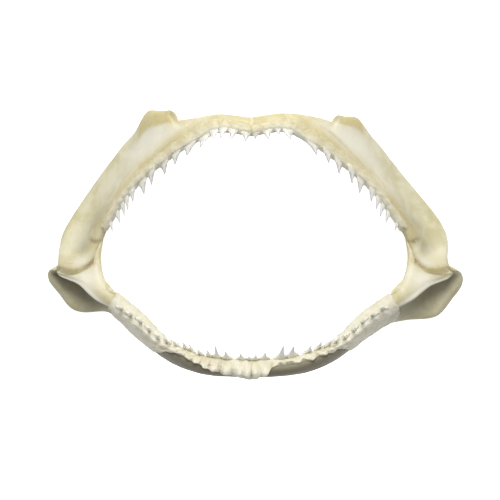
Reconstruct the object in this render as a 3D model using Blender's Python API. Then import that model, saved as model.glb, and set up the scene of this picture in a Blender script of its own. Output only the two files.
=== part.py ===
"""Dried jaws of a blacktip shark, life size, spread wide and lying on their back.

The mouth opens upwards (+Z), the upper jaw lies towards +Y and the lower jaw towards -Y.
Left and right are those of someone who looks down into the mouth, so left is -X.
Each half jaw is a blade swept between two rails: the tooth margin and the free rim.
A strip of dried gum wraps each margin, and its teeth stand in it.
"""

import math

import bmesh
import bpy
import numpy as np
from mathutils import Matrix

MM = 0.001

# Lengths are in mm. A share runs along a half jaw from 0 at the midline to 1 at the joint.
GAP = 0.3                  # clearance between neighbouring pieces
LIGAMENT_WIDTH = 3.0       # the pad that joins a pair of halves on the midline
FIRST_SHARE = 0.01         # the section next to that pad
SECTION_POINTS = 16        # points round a cartilage section
BLUNTNESS = 0.62           # 1 gives a section oval edges, less gives squarer ones
LEAN = 0.055               # how far the deeper part of the specimen leans right, per mm of depth
LEVEL = 58.0               # the height that the lean starts below
MIDDLE = (2.3, 5.05)       # x and y of the middle of the specimen, before it is centred
FLOOR = 4.2                # height of the floor, before the specimen is set down on 0

# Rails: (share, x, y, height) of the left half.
# Shape: (share, half thickness at the margin, middle and rim, labial hollow, ridge above it,
# where between margin and rim the hollow starts).
# Slide: (share, labial, lingual), how far the section's points draw in towards the margin.
UPPER = {
    "name": "upper",
    "labial": -1,
    "margin": (
        (0.0, 0.0, 68.8, 89.0),
        (0.125, -20.3, 72.6, 86.0),
        (0.25, -36.1, 64.1, 79.0),
        (0.375, -49.9, 53.7, 68.5),
        (0.5, -62.4, 43.7, 58.0),
        (0.625, -73.2, 33.6, 48.0),
        (0.75, -81.8, 22.4, 39.5),
        (0.875, -89.5, 10.5, 32.0),
        (1.0, -94.8, -2.9, 28.0),
    ),
    "rim": (
        (0.0, 0.0, 75.1, 84.0),
        (0.125, -20.3, 75.7, 79.5),
        (0.25, -38.1, 75.4, 69.0),
        (0.375, -52.2, 73.8, 52.0),
        (0.5, -69.0, 71.6, 28.0),
        (0.625, -89.0, 51.1, 12.0),
        (0.75, -106.7, 27.8, 4.0),
        (0.875, -117.2, 8.9, 8.0),
        (1.0, -117.4, -7.4, 19.0),
    ),
    "shape": (
        (0.0, 3.8, 4.2, 3.4, 0.0, 0.0, 0.1),
        (0.15, 3.6, 4.0, 3.2, 0.0, 0.0, 0.1),
        (0.35, 4.0, 3.6, 3.2, 0.0, 0.0, 0.1),
        (0.55, 3.8, 2.8, 3.1, 2.0, 0.0, 0.1),
        (0.75, 3.8, 2.3, 2.8, 3.5, 0.0, 0.1),
        (0.9, 3.9, 3.4, 3.4, 2.8, 0.0, 0.1),
        (0.96, 4.0, 4.8, 4.2, 1.6, 0.0, 0.1),
        (1.0, 4.0, 5.7, 4.7, 0.0, 0.0, 0.1),
    ),
    "hollow_skew": 1.0,
    "slide": ((0.0, 0.0, -0.6), (0.25, 0.1, -0.4), (0.5, 0.35, 0.1), (1.0, 0.3, 0.1)),
    "gum_points": (-4, 2),
    "gum_end": 0.885,
    "tooth_angle": ((0.0, -0.3), (0.6, -0.4), (1.0, -0.3)),
    "crown": (
        (0.0, 0.0, -0.8, 0.6),
        (0.15, -0.3, -0.8, 0.55),
        (0.35, -0.05, -0.85, 0.5),
        (0.7, 0.0, -0.85, 0.5),
        (1.0, 0.1, -0.85, 0.5),
    ),
    "tooth_rings": ((0.0, 0.96, 1.0), (0.2, 0.86, 0.9), (0.36, 0.38, 0.7), (0.7, 0.2, 0.45)),
}
LOWER = {
    "name": "lower",
    "labial": 1,
    "margin": (
        (0.0, 0.0, -66.2, 87.0),
        (0.143, -26.7, -63.9, 83.0),
        (0.286, -46.9, -55.3, 72.5),
        (0.357, -55.5, -49.5, 66.0),
        (0.429, -62.8, -41.8, 59.0),
        (0.571, -78.0, -30.3, 47.5),
        (0.714, -88.0, -20.9, 38.0),
        (0.857, -92.4, -9.2, 31.5),
        (1.0, -93.6, -2.8, 28.5),
    ),
    "rim": (
        (0.0, 0.0, -70.8, 78.0),
        (0.143, -27.0, -69.6, 74.0),
        (0.286, -47.4, -63.4, 61.0),
        (0.357, -57.5, -57.0, 51.0),
        (0.429, -67.8, -50.6, 40.0),
        (0.571, -87.5, -37.0, 16.0),
        (0.714, -112.1, -34.8, 5.0),
        (0.786, -120.0, -25.7, 4.0),
        (0.857, -125.8, -18.0, 5.7),
        (0.929, -125.0, -11.9, 11.0),
        (1.0, -117.0, -8.8, 19.0),
    ),
    "shape": (
        (0.0, 4.6, 5.0, 3.4, 0.0, 0.0, 0.25),
        (0.25, 4.2, 4.6, 3.2, 0.0, 0.0, 0.25),
        (0.4, 4.6, 4.2, 3.0, 0.0, 0.0, 0.25),
        (0.6, 5.5, 3.3, 2.5, 4.0, 0.5, 0.28),
        (0.7, 5.5, 2.8, 2.4, 7.5, 2.0, 0.35),
        (0.8, 5.3, 2.4, 2.3, 8.5, 3.0, 0.53),
        (0.88, 5.0, 2.8, 2.5, 5.5, 3.0, 0.70),
        (0.94, 4.8, 3.6, 3.0, 2.5, 2.0, 0.82),
        (1.0, 4.5, 5.0, 4.2, 0.0, 1.0, 0.88),
    ),
    "hollow_skew": 0.65,
    "slide": (
        (0.0, -0.4, -0.5),
        (0.12, 0.0, -0.5),
        (0.22, 0.6, -0.4),
        (0.33, 0.5, 0.0),
        (0.5, -0.3, 0.1),
        (1.0, 0.0, 0.1),
    ),
    "gum_points": (-4, 2),
    "gum_end": 0.72,
    "tooth_angle": ((0.0, 0.0), (0.35, 0.0), (0.55, 0.25), (1.0, 0.25)),
    "crown": (
        (0.0, 0.0, 0.85, 0.5),
        (0.33, 0.0, 0.8, 0.6),
        (0.46, 0.1, 0.2, 0.97),
        (1.0, 0.1, 0.1, 0.99),
    ),
    "tooth_rings": ((0.0, 0.85, 1.0), (0.18, 0.7, 0.9), (0.34, 0.34, 0.7), (0.7, 0.18, 0.45)),
}

# How the two sides of this specimen differ. Teeth: (share, height).
LEFT = {
    "name": "left",
    "mirror": 1,
    "horn_rise": (7.0, 8.8),
    "horn": (0.325, 0.43),
    "rim_shift": {
        "upper": ((0.0, 0.0, 0.0), (1.0, 0.0, 0.0)),
        "lower": ((0.0, 0.0, 0.0), (1.0, 0.0, 0.0)),
    },
    "teeth": {
        "upper": (
            (0.017, 6.0),
            (0.057, 7.0),
            (0.094, 7.5),
            (0.134, 9.0),
            (0.190, 9.5),
            (0.253, 9.5),
            (0.320, 9.0),
            (0.394, 8.5),
            (0.459, 9.0),
            (0.524, 9.0),
            (0.587, 7.8),
            (0.640, 8.0),
            (0.685, 7.5),
            (0.740, 6.5),
            (0.803, 5.5),
        ),
        "lower": (
            (0.012, 6.0),
            (0.036, 7.0),
            (0.076, 7.5),
            (0.112, 9.5),
            (0.142, 6.5),
            (0.172, 5.5),
            (0.203, 7.5),
            (0.234, 7.0),
            (0.268, 5.5),
            (0.306, 6.5),
            (0.347, 7.0),
            (0.393, 7.0),
            (0.442, 6.5),
            (0.492, 6.5),
            (0.545, 6.0),
            (0.612, 5.0),
        ),
    },
}
RIGHT = {
    "name": "right",
    "mirror": -1,
    "horn_rise": (5.2, 6.1),
    "horn": (0.36, 0.435),
    "rim_shift": {
        "upper": (
            (0.0, 0.0, 0.0),
            (0.2, -0.2, 1.7),
            (0.3, 0.0, 0.4),
            (0.5, 2.2, -1.7),
            (0.65, 3.8, -1.8),
            (0.8, 1.8, -0.5),
            (1.0, 2.8, 0.0),
        ),
        "lower": (
            (0.0, 0.0, 0.0),
            (0.3, 0.0, 0.3),
            (0.5, 0.0, -1.0),
            (0.58, -2.5, -4.9),
            (0.68, 0.8, -4.0),
            (0.8, 0.8, -3.1),
            (1.0, 1.2, 0.0),
        ),
    },
    "teeth": {
        "upper": (
            (0.013, 4.5),
            (0.053, 6.5),
            (0.090, 5.0),
            (0.130, 8.0),
            (0.245, 9.5),
            (0.314, 9.0),
            (0.380, 9.0),
            (0.447, 9.0),
            (0.515, 8.5),
            (0.584, 8.0),
            (0.640, 7.5),
            (0.688, 7.5),
            (0.738, 6.5),
            (0.808, 5.0),
        ),
        "lower": (
            (0.012, 7.0),
            (0.040, 7.5),
            (0.083, 10.5),
            (0.130, 9.0),
            (0.193, 6.5),
            (0.238, 6.5),
            (0.270, 6.0),
            (0.306, 6.0),
            (0.347, 7.0),
            (0.393, 7.0),
            (0.442, 6.5),
            (0.492, 6.5),
            (0.545, 6.0),
            (0.612, 5.0),
        ),
    },
}
HORN_STEP = 0.03           # share over which a horn rises
HORN_FALL = 0.09           # share over which it falls again, towards the joint
KNOB = 0.22                # how much a horn thickens the rim, per mm that it rises

# Gum and teeth
GUM_THICKNESS = 1.7
GUM_EDGE = 0.7
TOOTH_SIDES = 4
TOOTH_FLATNESS = 0.42      # thickness as a share of width
TOOTH_SEAT = 1.15          # how far a tooth's foot stands off the cartilage
TOOTH_SPAN = 0.86          # width as a share of the space to the next tooth
STRAP_WIDTH = 7.5          # the ligament over the corner of the mouth
STRAP_THICKNESS = 3.4
STRAP_ANGLE = 0.2          # where on the section it lies, a little outside the margin
STRAP_STOPS = (
    (UPPER, 0.905),
    (UPPER, 0.94),
    (UPPER, 0.985),
    (LOWER, 0.97),
    (LOWER, 0.9),
    (LOWER, 0.83),
    (LOWER, 0.765),
)

# Colours, linear
CARTILAGE_COLOUR = (0.72, 0.66, 0.46, 1.0)
GUM_COLOUR = (0.62, 0.52, 0.28, 1.0)


def smooth(keys, share):
    """The value at share of a smooth curve through keys, each (share, values...)."""
    table = np.array(keys, float)
    at = table[:, 0]
    values = table[:, 1:]
    slopes = np.gradient(values, at, axis=0)
    share = float(np.clip(share, at[0], at[-1]))
    low = min(int(np.searchsorted(at, share, side="right")) - 1, len(at) - 2)
    step = at[low + 1] - at[low]
    t = (share - at[low]) / step
    curve = (2 * t**3 - 3 * t**2 + 1) * values[low] + (3 * t**2 - 2 * t**3) * values[low + 1]
    curve = curve + step * ((t**3 - 2 * t**2 + t) * slopes[low] + (t**3 - t**2) * slopes[low + 1])
    return curve if len(curve) > 1 else float(curve[0])


def ramp(value, start, end):
    """0 before start, 1 after end, with a smooth rise between."""
    t = min(max((value - start) / (end - start), 0.0), 1.0)
    return t * t * (3 - 2 * t)


def rails(jaw, side, share):
    """The points of the tooth margin and of the free rim at share, with this side's own marks."""
    margin = smooth(jaw["margin"], share)
    rim = smooth(jaw["rim"], share)
    rim[:2] += smooth(side["rim_shift"][jaw["name"]], share)
    return margin, rim


def horn_rise(jaw, side, share):
    """How far the horn of an upper half raises its rim towards +Y at share."""
    if jaw is LOWER:
        return 0.0
    start, end = side["horn"]
    low, high = side["horn_rise"]
    rise = ramp(share, start - HORN_STEP, start) * (1 - ramp(share, end, end + HORN_FALL))
    return rise * (low + (high - low) * ramp(share, start, end))


def axes(jaw, side, share):
    """Margin point, chord, chord length, labial normal and tangent (towards the joint) at share."""
    margin, rim = rails(jaw, side, share)
    step = 0.01
    before = sum(rails(jaw, side, max(share - step, 0.0)))
    after = sum(rails(jaw, side, min(share + step, 1.0)))
    tangent = after - before
    if share < step:
        tangent[1:] = 0.0
    tangent /= np.linalg.norm(tangent)
    length = np.linalg.norm(rim - margin)
    chord = (rim - margin) / length
    normal = jaw["labial"] * np.cross(tangent, chord)
    normal /= np.linalg.norm(normal)
    return margin, chord, length, normal, tangent


def outline(jaw, share, length, angle, knob=0.0):
    """Distance from the margin and labial offset of the section's outline, at an angle.

    Angle 0 is the tooth margin and pi the rim. Positive angles are on the labial face.
    """
    across = (1 - math.cos(angle)) / 2
    margin_half, middle_half, rim_half, hollow, ridge, brow = smooth(jaw["shape"], share)
    half = margin_half * (1 - across) ** 2 + middle_half * 2 * across * (1 - across)
    half += (rim_half + knob) * across**2
    swell = abs(math.sin(angle)) ** BLUNTNESS * math.copysign(1.0, math.sin(angle))
    inward = max(across - brow, 0.0) / (1 - brow)
    bend = -hollow * math.sin(math.pi * inward ** jaw["hollow_skew"]) ** 2
    bend += ridge * math.exp(-(((across - 0.75 * brow) / (0.12 + 0.2 * brow)) ** 2))
    return np.array([across * length, bend + half * swell])


def section(jaw, side, share, angles, grow=0.0):
    """Points of the section's outline at these angles, moved outwards by grow."""
    margin, chord, length, normal, _ = axes(jaw, side, share)
    rise = horn_rise(jaw, side, share)
    knob = KNOB * rise
    step = 0.05
    points = []
    for angle in angles:
        flat = outline(jaw, share, length, angle, knob)
        along = outline(jaw, share, length, angle + step, knob)
        along -= outline(jaw, share, length, angle - step, knob)
        along /= np.linalg.norm(along)
        flat = flat + grow * np.array([-along[1], along[0]])
        point = margin + flat[0] * chord + flat[1] * normal
        point[1] += rise * ramp((1 - math.cos(angle)) / 2, 0.3, 0.95)
        points.append(point)
    return points


def section_angle(jaw, share, index):
    """The angle of a point of the section. Points -1 and 0 lie either side of the margin.

    The points of each face slide towards the margin or away from it, and take the gum's edge along.
    """
    angle = 2 * math.pi * (index + 0.5) / SECTION_POINTS
    labial, lingual = smooth(jaw["slide"], share)
    return angle - (labial if math.sin(angle) > 0 else lingual) * math.sin(angle)


def placed(points, side):
    """Points of a left half on their own side of the specimen, with its sideways lean."""
    return [np.array([side["mirror"] * p[0] + LEAN * max(LEVEL - p[2], 0.0), p[1], p[2]]) for p in points]


def shares(jaw, side):
    """Where the sections of a half jaw stand. They close up at the two ends of the horn."""
    if jaw is LOWER:
        return np.linspace(FIRST_SHARE, 1, 26)
    start, end = side["horn"]
    stops = (FIRST_SHARE, start - HORN_STEP, start, end, end + HORN_FALL, 1)
    counts = (7, 1, 3, 3, 12)
    runs = [np.linspace(a, b, n, endpoint=False) for a, b, n in zip(stops, stops[1:], counts)]
    return np.append(np.concatenate(runs), 1.0)


def levelled(ring, distance):
    """A section flattened at this distance from the midline."""
    return [np.array([-distance, p[1], p[2]]) for p in ring]


def cartilage_rings(jaw, side, grow=0.0):
    """Sections of a half jaw from the midline pad to the rounded joint end."""
    rings = []
    for share in shares(jaw, side):
        angles = [section_angle(jaw, share, k) for k in range(SECTION_POINTS)]
        rings.append(section(jaw, side, share, angles, grow))
    rings[0] = levelled(rings[0], LIGAMENT_WIDTH / 2 + GAP - grow)
    tangent = axes(jaw, side, 1.0)[4]
    last = np.array(rings[-1])
    middle = last.mean(axis=0)
    for shrink, push in ((0.86, 1.4), (0.5, 2.4)):
        rings.append(list(middle + shrink * (last - middle) + push * tangent))
    return [placed(ring, side) for ring in rings]


def gum_rings(jaw, side):
    """Closed sections of the gum strip: its outer face one way and its inner face back."""
    first, last = jaw["gum_points"]
    rings = []
    for share in [0.0, *shares(jaw, side)]:
        if share > jaw["gum_end"]:
            break
        angles = [section_angle(jaw, share, k) for k in range(first, last + 1)]
        outer = []
        for k, angle in enumerate(angles):
            swell = math.sin(math.pi * k / (last - first)) ** 0.6
            thick = GUM_EDGE + (GUM_THICKNESS - GUM_EDGE) * swell
            outer += section(jaw, side, share, [angle], GAP + thick)
        rings.append(outer + section(jaw, side, share, angles[::-1], GAP))
    rings[0] = levelled(rings[0], GAP / 2)
    rings[1] = levelled(rings[1], LIGAMENT_WIDTH / 2 + GAP)
    return [placed(ring, side) for ring in rings]


def tooth_places(jaw, side):
    """Share, width and height of each functional tooth of a half jaw."""
    teeth = side["teeth"][jaw["name"]]
    stands = [rails(jaw, side, share)[0] for share, _ in teeth]
    spaces = [np.linalg.norm(b - a) for a, b in zip(stands, stands[1:])]
    spaces = [spaces[0]] + spaces + [spaces[-1]]
    places = []
    for k, (share, height) in enumerate(teeth):
        places.append((share, min(TOOTH_SPAN * min(spaces[k : k + 2]), 0.95 * height), height))
    return places


def tooth_frame(jaw, side, share):
    """Foot, width axis, thickness axis and crown direction of the tooth at share."""
    tangent = axes(jaw, side, share)[4]
    place = share / jaw["gum_end"]
    angle = smooth(jaw["tooth_angle"], place)
    surface = section(jaw, side, share, [angle])[0]
    away = section(jaw, side, share, [angle], 1.0)[0] - surface
    wide = tangent - away * (tangent @ away)
    wide /= np.linalg.norm(wide)
    crown = smooth(jaw["crown"], place)
    return surface + TOOTH_SEAT * away, wide, np.cross(away, wide), crown / np.linalg.norm(crown)


def remove_all_objects():
    for obj in list(bpy.data.objects):
        bpy.data.objects.remove(obj)


def collection(name):
    made = bpy.data.collections.new(name)
    bpy.context.scene.collection.children.link(made)
    return made


def material(name, colour, roughness):
    made = bpy.data.materials.new(name)
    made.use_nodes = True
    shader = made.node_tree.nodes["Principled BSDF"]
    shader.inputs["Base Color"].default_value = colour
    shader.inputs["Roughness"].default_value = roughness
    return made


def finished(mesh, name, group, finish):
    """An object from a bmesh, with its faces turned outwards."""
    bmesh.ops.recalc_face_normals(mesh, faces=mesh.faces)
    data = bpy.data.meshes.new(name)
    mesh.to_mesh(data)
    mesh.free()
    data.materials.append(finish)
    obj = bpy.data.objects.new(name, data)
    obj.location = (-MIDDLE[0] * MM, -MIDDLE[1] * MM, -FLOOR * MM)
    group.objects.link(obj)
    return obj


def add_tube(mesh, rings, tip=None, turned_from=1000):
    """Adds a closed tube through rings of equal length, with a flat end or a pointed tip.

    Each four-sided cell is split in two. Cells from turned_from on are split the other way.
    """
    rows = [[mesh.verts.new(p * MM) for p in ring] for ring in rings]
    count = len(rows[0])
    for low, high in zip(rows, rows[1:]):
        for k in range(count):
            n = (k + 1) % count
            corners = (low[k], low[n], high[n], high[k])
            a, b, c, d = corners if k < turned_from else corners[1:] + corners[:1]
            mesh.faces.new((a, b, c))
            mesh.faces.new((a, c, d))
    mesh.faces.new(rows[0][::-1])
    if tip is None:
        mesh.faces.new(rows[-1])
        return
    point = mesh.verts.new(tip * MM)
    for k in range(count):
        mesh.faces.new((rows[-1][k], rows[-1][(k + 1) % count], point))


def loft(name, rings, group, finish, turned_from=1000):
    mesh = bmesh.new()
    add_tube(mesh, rings, turned_from=turned_from)
    return finished(mesh, name, group, finish)


def tooth_row(name, jaw, side, group, finish):
    """All the functional teeth of a half jaw: a broad foot and a narrow cusp each."""
    mesh = bmesh.new()
    angles = [2 * math.pi * k / TOOTH_SIDES for k in range(TOOTH_SIDES)]
    for share, width, height in tooth_places(jaw, side):
        foot, wide, through, crown = tooth_frame(jaw, side, share)
        rings = []
        for rise, breadth, depth in jaw["tooth_rings"]:
            middle = foot + rise * height * crown
            across = width / 2 * breadth * wide
            back = width / 2 * TOOTH_FLATNESS * depth * through
            rings.append(placed([middle + math.cos(a) * across + math.sin(a) * back for a in angles], side))
        add_tube(mesh, rings, placed([foot + height * crown], side)[0])
    return finished(mesh, name, group, finish)


def boolean(target, other, operation):
    modifier = target.modifiers.new(operation.lower(), "BOOLEAN")
    modifier.object = other
    modifier.operation = operation
    modifier.solver = "EXACT"


def helper(obj):
    obj.hide_render = True
    obj.display_type = "WIRE"
    return obj


def gum_with_teeth(jaw, side, group, cutters, finish):
    """The gum strip of a half jaw and the teeth that stand in it, as one solid."""
    name = f"gum_and_teeth_{jaw['name']}_{side['name']}"
    rings = gum_rings(jaw, side)
    strip = loft(name, rings, group, finish, len(rings[0]) // 2)
    teeth = tooth_row(f"teeth_{jaw['name']}_{side['name']}", jaw, side, cutters, finish)
    boolean(strip, helper(teeth), "UNION")
    return strip


def ligament(jaw, group, finish):
    """The pad on the midline between a pair of half jaws."""
    angles = [section_angle(jaw, 0.0, k) for k in range(SECTION_POINTS)]
    ring = np.array(section(jaw, LEFT, 0.0, angles))
    middle = ring.mean(axis=0)
    rings = []
    for x, shrink in ((-0.5, 0.93), (-0.2, 0.98), (0.2, 0.98), (0.5, 0.93)):
        moved = middle + (ring - middle) * shrink
        moved[:, 0] = x * LIGAMENT_WIDTH
        rings.append(placed(moved, LEFT))
    return loft(f"ligament_{jaw['name']}_midline", rings, group, finish)


def corner_strap(side, group, heads, finish):
    """The ligament that crosses the joint at the corner of the mouth, over both cartilages."""
    middles = []
    for jaw, share in STRAP_STOPS:
        surface, above = (section(jaw, side, share, [STRAP_ANGLE], grow)[0] for grow in (0.0, 1.0))
        middles.append((surface, above - surface))
    rings = []
    for k, (middle, away) in enumerate(middles):
        along = middles[min(k + 1, len(middles) - 1)][0] - middles[max(k - 1, 0)][0]
        across = np.cross(along, away)
        across *= STRAP_WIDTH / 2 / np.linalg.norm(across)
        out = STRAP_THICKNESS / 2 * away
        taper = 0.55 if k in (0, len(middles) - 1) else 1.0
        ring = []
        for n in range(10):
            angle = 2 * math.pi * n / 10
            ring.append(middle + taper * (math.cos(angle) * across + math.sin(angle) * out))
        rings.append(placed(ring, side))
    strap = loft(f"ligament_corner_{side['name']}", rings, group, finish)
    for head in heads:
        boolean(strap, head, "DIFFERENCE")


def floor_level(group, finish):
    """A block whose top is the floor. It cuts the small flats that the specimen rests on."""
    mesh = bmesh.new()
    bmesh.ops.create_cube(mesh, size=1.0, matrix=Matrix.Diagonal((0.3, 0.22, 0.02, 1.0)))
    obj = finished(mesh, "floor_level", group, finish)
    obj.location = (0.0, 0.0, -0.01)
    return helper(obj)


def main():
    remove_all_objects()
    jaws = collection("shark_jaws")
    cutters = collection("cutters")
    cartilage_finish = material("cartilage", CARTILAGE_COLOUR, 0.5)
    gum_finish = material("gum", GUM_COLOUR, 0.45)
    floor = floor_level(cutters, cartilage_finish)
    for side in (LEFT, RIGHT):
        halves = []
        for jaw in (UPPER, LOWER):
            name = f"cartilage_{jaw['name']}_{side['name']}"
            half = loft(name, cartilage_rings(jaw, side), jaws, cartilage_finish)
            boolean(half, floor, "DIFFERENCE")
            halves.append(half)
            gum_with_teeth(jaw, side, jaws, cutters, gum_finish)
        heads = []
        for jaw in (UPPER, LOWER):
            rings = cartilage_rings(jaw, side, GAP)
            name = f"joint_{jaw['name']}_{side['name']}"
            heads.append(helper(loft(name, rings, cutters, cartilage_finish)))
        boolean(halves[1], heads[0], "DIFFERENCE")
        corner_strap(side, jaws, heads, gum_finish)
    for jaw in (UPPER, LOWER):
        ligament(jaw, jaws, gum_finish)


main()
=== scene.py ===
"""Looks of a dried shark jaw that lies on its back, mouth open to the camera.

Each half jaw is a blade swept between two rails, the tooth margin and the free rim. The
cartilages, gums, teeth and ligaments are all read off that one surface, in finer detail
than the solids. Lengths are in mm until a mesh is made.
"""

import math

import bmesh
import bpy
import numpy as np
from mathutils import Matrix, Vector


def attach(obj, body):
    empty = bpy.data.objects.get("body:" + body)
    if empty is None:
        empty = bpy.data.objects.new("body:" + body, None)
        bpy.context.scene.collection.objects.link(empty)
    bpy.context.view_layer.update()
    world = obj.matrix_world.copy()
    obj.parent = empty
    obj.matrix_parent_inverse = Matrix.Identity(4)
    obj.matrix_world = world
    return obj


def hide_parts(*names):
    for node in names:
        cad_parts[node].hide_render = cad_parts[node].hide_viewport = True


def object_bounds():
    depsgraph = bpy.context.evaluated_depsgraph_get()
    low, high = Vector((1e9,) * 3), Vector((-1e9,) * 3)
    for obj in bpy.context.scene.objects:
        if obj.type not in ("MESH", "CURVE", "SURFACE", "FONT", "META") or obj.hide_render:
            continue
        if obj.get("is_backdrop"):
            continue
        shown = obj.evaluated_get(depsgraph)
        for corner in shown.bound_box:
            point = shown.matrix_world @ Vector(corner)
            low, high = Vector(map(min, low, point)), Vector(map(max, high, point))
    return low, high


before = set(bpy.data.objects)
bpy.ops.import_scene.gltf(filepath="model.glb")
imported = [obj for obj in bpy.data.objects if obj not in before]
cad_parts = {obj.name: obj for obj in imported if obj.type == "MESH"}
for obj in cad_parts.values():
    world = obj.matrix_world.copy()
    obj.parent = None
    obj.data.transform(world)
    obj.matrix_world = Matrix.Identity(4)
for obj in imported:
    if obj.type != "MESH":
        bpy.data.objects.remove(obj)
CAD_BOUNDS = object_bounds()

bl_info = {
    "name": "Shark Jaw",
    "version": (1, 0, 0),
    "blender": (4, 5, 0),
    "location": "3D View > Sidebar > Shark Jaw",
    "description": "Builds the dried, spread jaws of a shark in fine detail",
    "category": "Object",
}

MM = 0.001

# How the specimen lies, in the tables' own mm: below LEVEL its parts lean towards +X by LEAN of their
# depth, MIDDLE is moved to the origin, and FLOOR is the height of the surface that it lies on.
LEAN = 0.055
LEVEL = 58.0
MIDDLE = (2.3, 5.05)
FLOOR = 4.2

# Cartilages. A place on a section counts SECTION_POINTS round it, from the margin by the labial side.
SECTION_POINTS = 16
BLUNTNESS = 0.62
ROUNDED_END = 2.5
CARTILAGE_CELL = 4.5
HORN_STEP = 0.03
HORN_FALL = 0.09
KNOB = 0.22
JOINT_BOW = 5.0

# Gums. GUM_FOOT is a place on a section and LOWER_GUM_END a share, and the rest are mm.
CREST_FRONT = 1.0
CREST_SIDE = 3.2
GUM_FOOT = -3.7
LOWER_GUM_END = 0.625
GUM_UNDERSIDE = 0.8
GUM_TUCK = 0.35
GUM_BURIED = 1.1
GUM_RELIEF = 0.2
GUM_CELL = 1.6

# Teeth. Spans, widths and depths are shares of a gap, a height or a width. TIP_STAND is in mm.
# The spare rows lie at these places on a section.
TOOTH_SPAN = 0.98
STOUTEST_TOOTH = 1.05
TIP_STAND = 1.15
FOOT_LEAN = 0.75
TOOTH_DEPTH = 0.4
SPARE_WIDTH = 0.9
SPARE_DEPTH = 0.32
SPARE_ROWS = (-2.0, -2.7, -3.3)
SPARE_SWAY = 0.12
SWAY_SEEDS = (120, 121)

# Ligaments. The width is in mm, and each kind has its own seed.
LIGAMENT_WIDTH = 3.0
PAD_SEED = 7
STRAP_SEED = 9
CAPSULE_SEED = 21

# How finely the pieces are made.
CARTILAGE_SECTIONS = 260
HORN_SECTIONS = 12
CARTILAGE_AROUND = 160
CAP_STEPS = 8
GUM_SECTIONS = 480
GUM_STEPS = 100
FINE_TOOTH = (64, 24)
PLAIN_TOOTH = (26, 14)
SERRATIONS = 24
PAD_SECTIONS = 17
PAD_AROUND = 120
STRAP_SECTIONS = 120
STRAP_AROUND = 40
CAPSULE_SECTIONS = 100

# Stage, in metres.
FLOOR_SIDE = 6.0
CAMERA_PLACE = (-0.00322, -0.00475, 1.2958)
CAMERA_LENS = 153.2
SENSOR_WIDTH = 36.0
NEAREST_SEEN = 0.05
KEY_PLACE = (0.0, 0.76, 1.03)
KEY_TARGET = (0.0, 0.0, 0.04)
KEY_SIZE = 0.7
PURE_WHITE = (1.0, 1.0, 1.0)

# Each half jaw has a share of 0 at the midline and 1 at the joint, and these tables for its left side.
# Margin and rim: (share, x, y, height), the two rails that the cartilage is swept between.
# Shape: (share, half thickness at the margin, middle and rim, labial hollow, ridge, where the ridge is).
# Slide: (share, labial, lingual), how far the section's points draw in towards the margin.
# Gum: (share, place of its lingual edge, place of its labial edge).
# Gum taper and edge: how fast it thins to its end and to its edges. Fringe: how ragged it is, in places.
# Tooth angle and forward: (share of the gum's length, turn round the margin), for tips and on for feet.
# Crown: (share of the gum's length, x, y, z), which way the teeth point. Reach: how far past the tips.
# Hang: (share, how far the gum hangs into the mouth). Bow from: share where the joint starts to bow.
UPPER = {
    "name": "upper",
    "labial": -1,
    "margin": (
        (0.0, 0.0, 68.8, 89.0),
        (0.125, -20.3, 72.6, 86.0),
        (0.25, -36.1, 64.1, 79.0),
        (0.375, -49.9, 53.7, 68.5),
        (0.5, -62.4, 43.7, 58.0),
        (0.625, -73.2, 33.6, 48.0),
        (0.75, -81.8, 22.4, 39.5),
        (0.875, -89.5, 10.5, 32.0),
        (1.0, -94.8, -2.9, 28.0),
    ),
    "rim": (
        (0.0, 0.0, 75.1, 84.0),
        (0.125, -20.3, 75.7, 79.5),
        (0.25, -38.1, 75.4, 69.0),
        (0.375, -52.2, 73.8, 52.0),
        (0.5, -69.0, 71.6, 28.0),
        (0.625, -89.0, 51.1, 12.0),
        (0.75, -106.7, 27.8, 4.0),
        (0.875, -117.2, 8.9, 8.0),
        (1.0, -117.4, -7.4, 19.0),
    ),
    "shape": (
        (0.0, 3.8, 4.2, 3.4, 0.0, 0.0, 0.1),
        (0.15, 3.6, 4.0, 3.2, 0.0, 0.0, 0.1),
        (0.35, 4.0, 3.6, 3.2, 0.0, 0.0, 0.1),
        (0.55, 3.8, 2.8, 3.1, 2.0, 0.0, 0.1),
        (0.75, 3.8, 2.3, 2.8, 3.5, 0.0, 0.1),
        (0.9, 3.9, 3.4, 3.4, 2.8, 0.0, 0.1),
        (0.96, 4.0, 4.8, 4.2, 1.6, 0.0, 0.1),
        (1.0, 4.0, 5.7, 4.7, 0.0, 0.0, 0.1),
    ),
    "hollow_skew": 1.0,
    "bow_from": 0.86,
    "slide": ((0.0, 0.0, -0.6), (0.25, 0.1, -0.4), (0.5, 0.35, 0.1), (1.0, 0.3, 0.1)),
    "gum": (
        (0.0, GUM_FOOT, 1.1), (0.12, GUM_FOOT, 1.2), (0.3, GUM_FOOT, 1.7), (0.7, GUM_FOOT, 1.8),
        (0.885, -3.4, 1.5),
    ),
    "gum_end": 0.885,
    "gum_taper": 0.03,
    "gum_edge": 0.07,
    "gum_fringe": 0.35,
    "tooth_angle": ((0.0, -0.3), (0.6, -0.4), (1.0, -0.3)),
    "crown": (
        (0.0, 0.0, -0.8, 0.6), (0.15, -0.3, -0.8, 0.55), (0.35, -0.05, -0.85, 0.5),
        (0.7, 0.0, -0.85, 0.5), (1.0, 0.1, -0.85, 0.5),
    ),
    "tooth_forward": ((0.0, 0.3), (0.2, 0.25), (1.0, 0.25)),
    "crown_reach": 1.08,
    "hang": (
        (0.0, 1.4), (0.06, 1.7), (0.12, 2.3), (0.2, 2.6), (0.27, 1.8), (0.34, 0.9), (0.45, 0.0),
        (1.0, 0.0),
    ),
}
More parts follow.
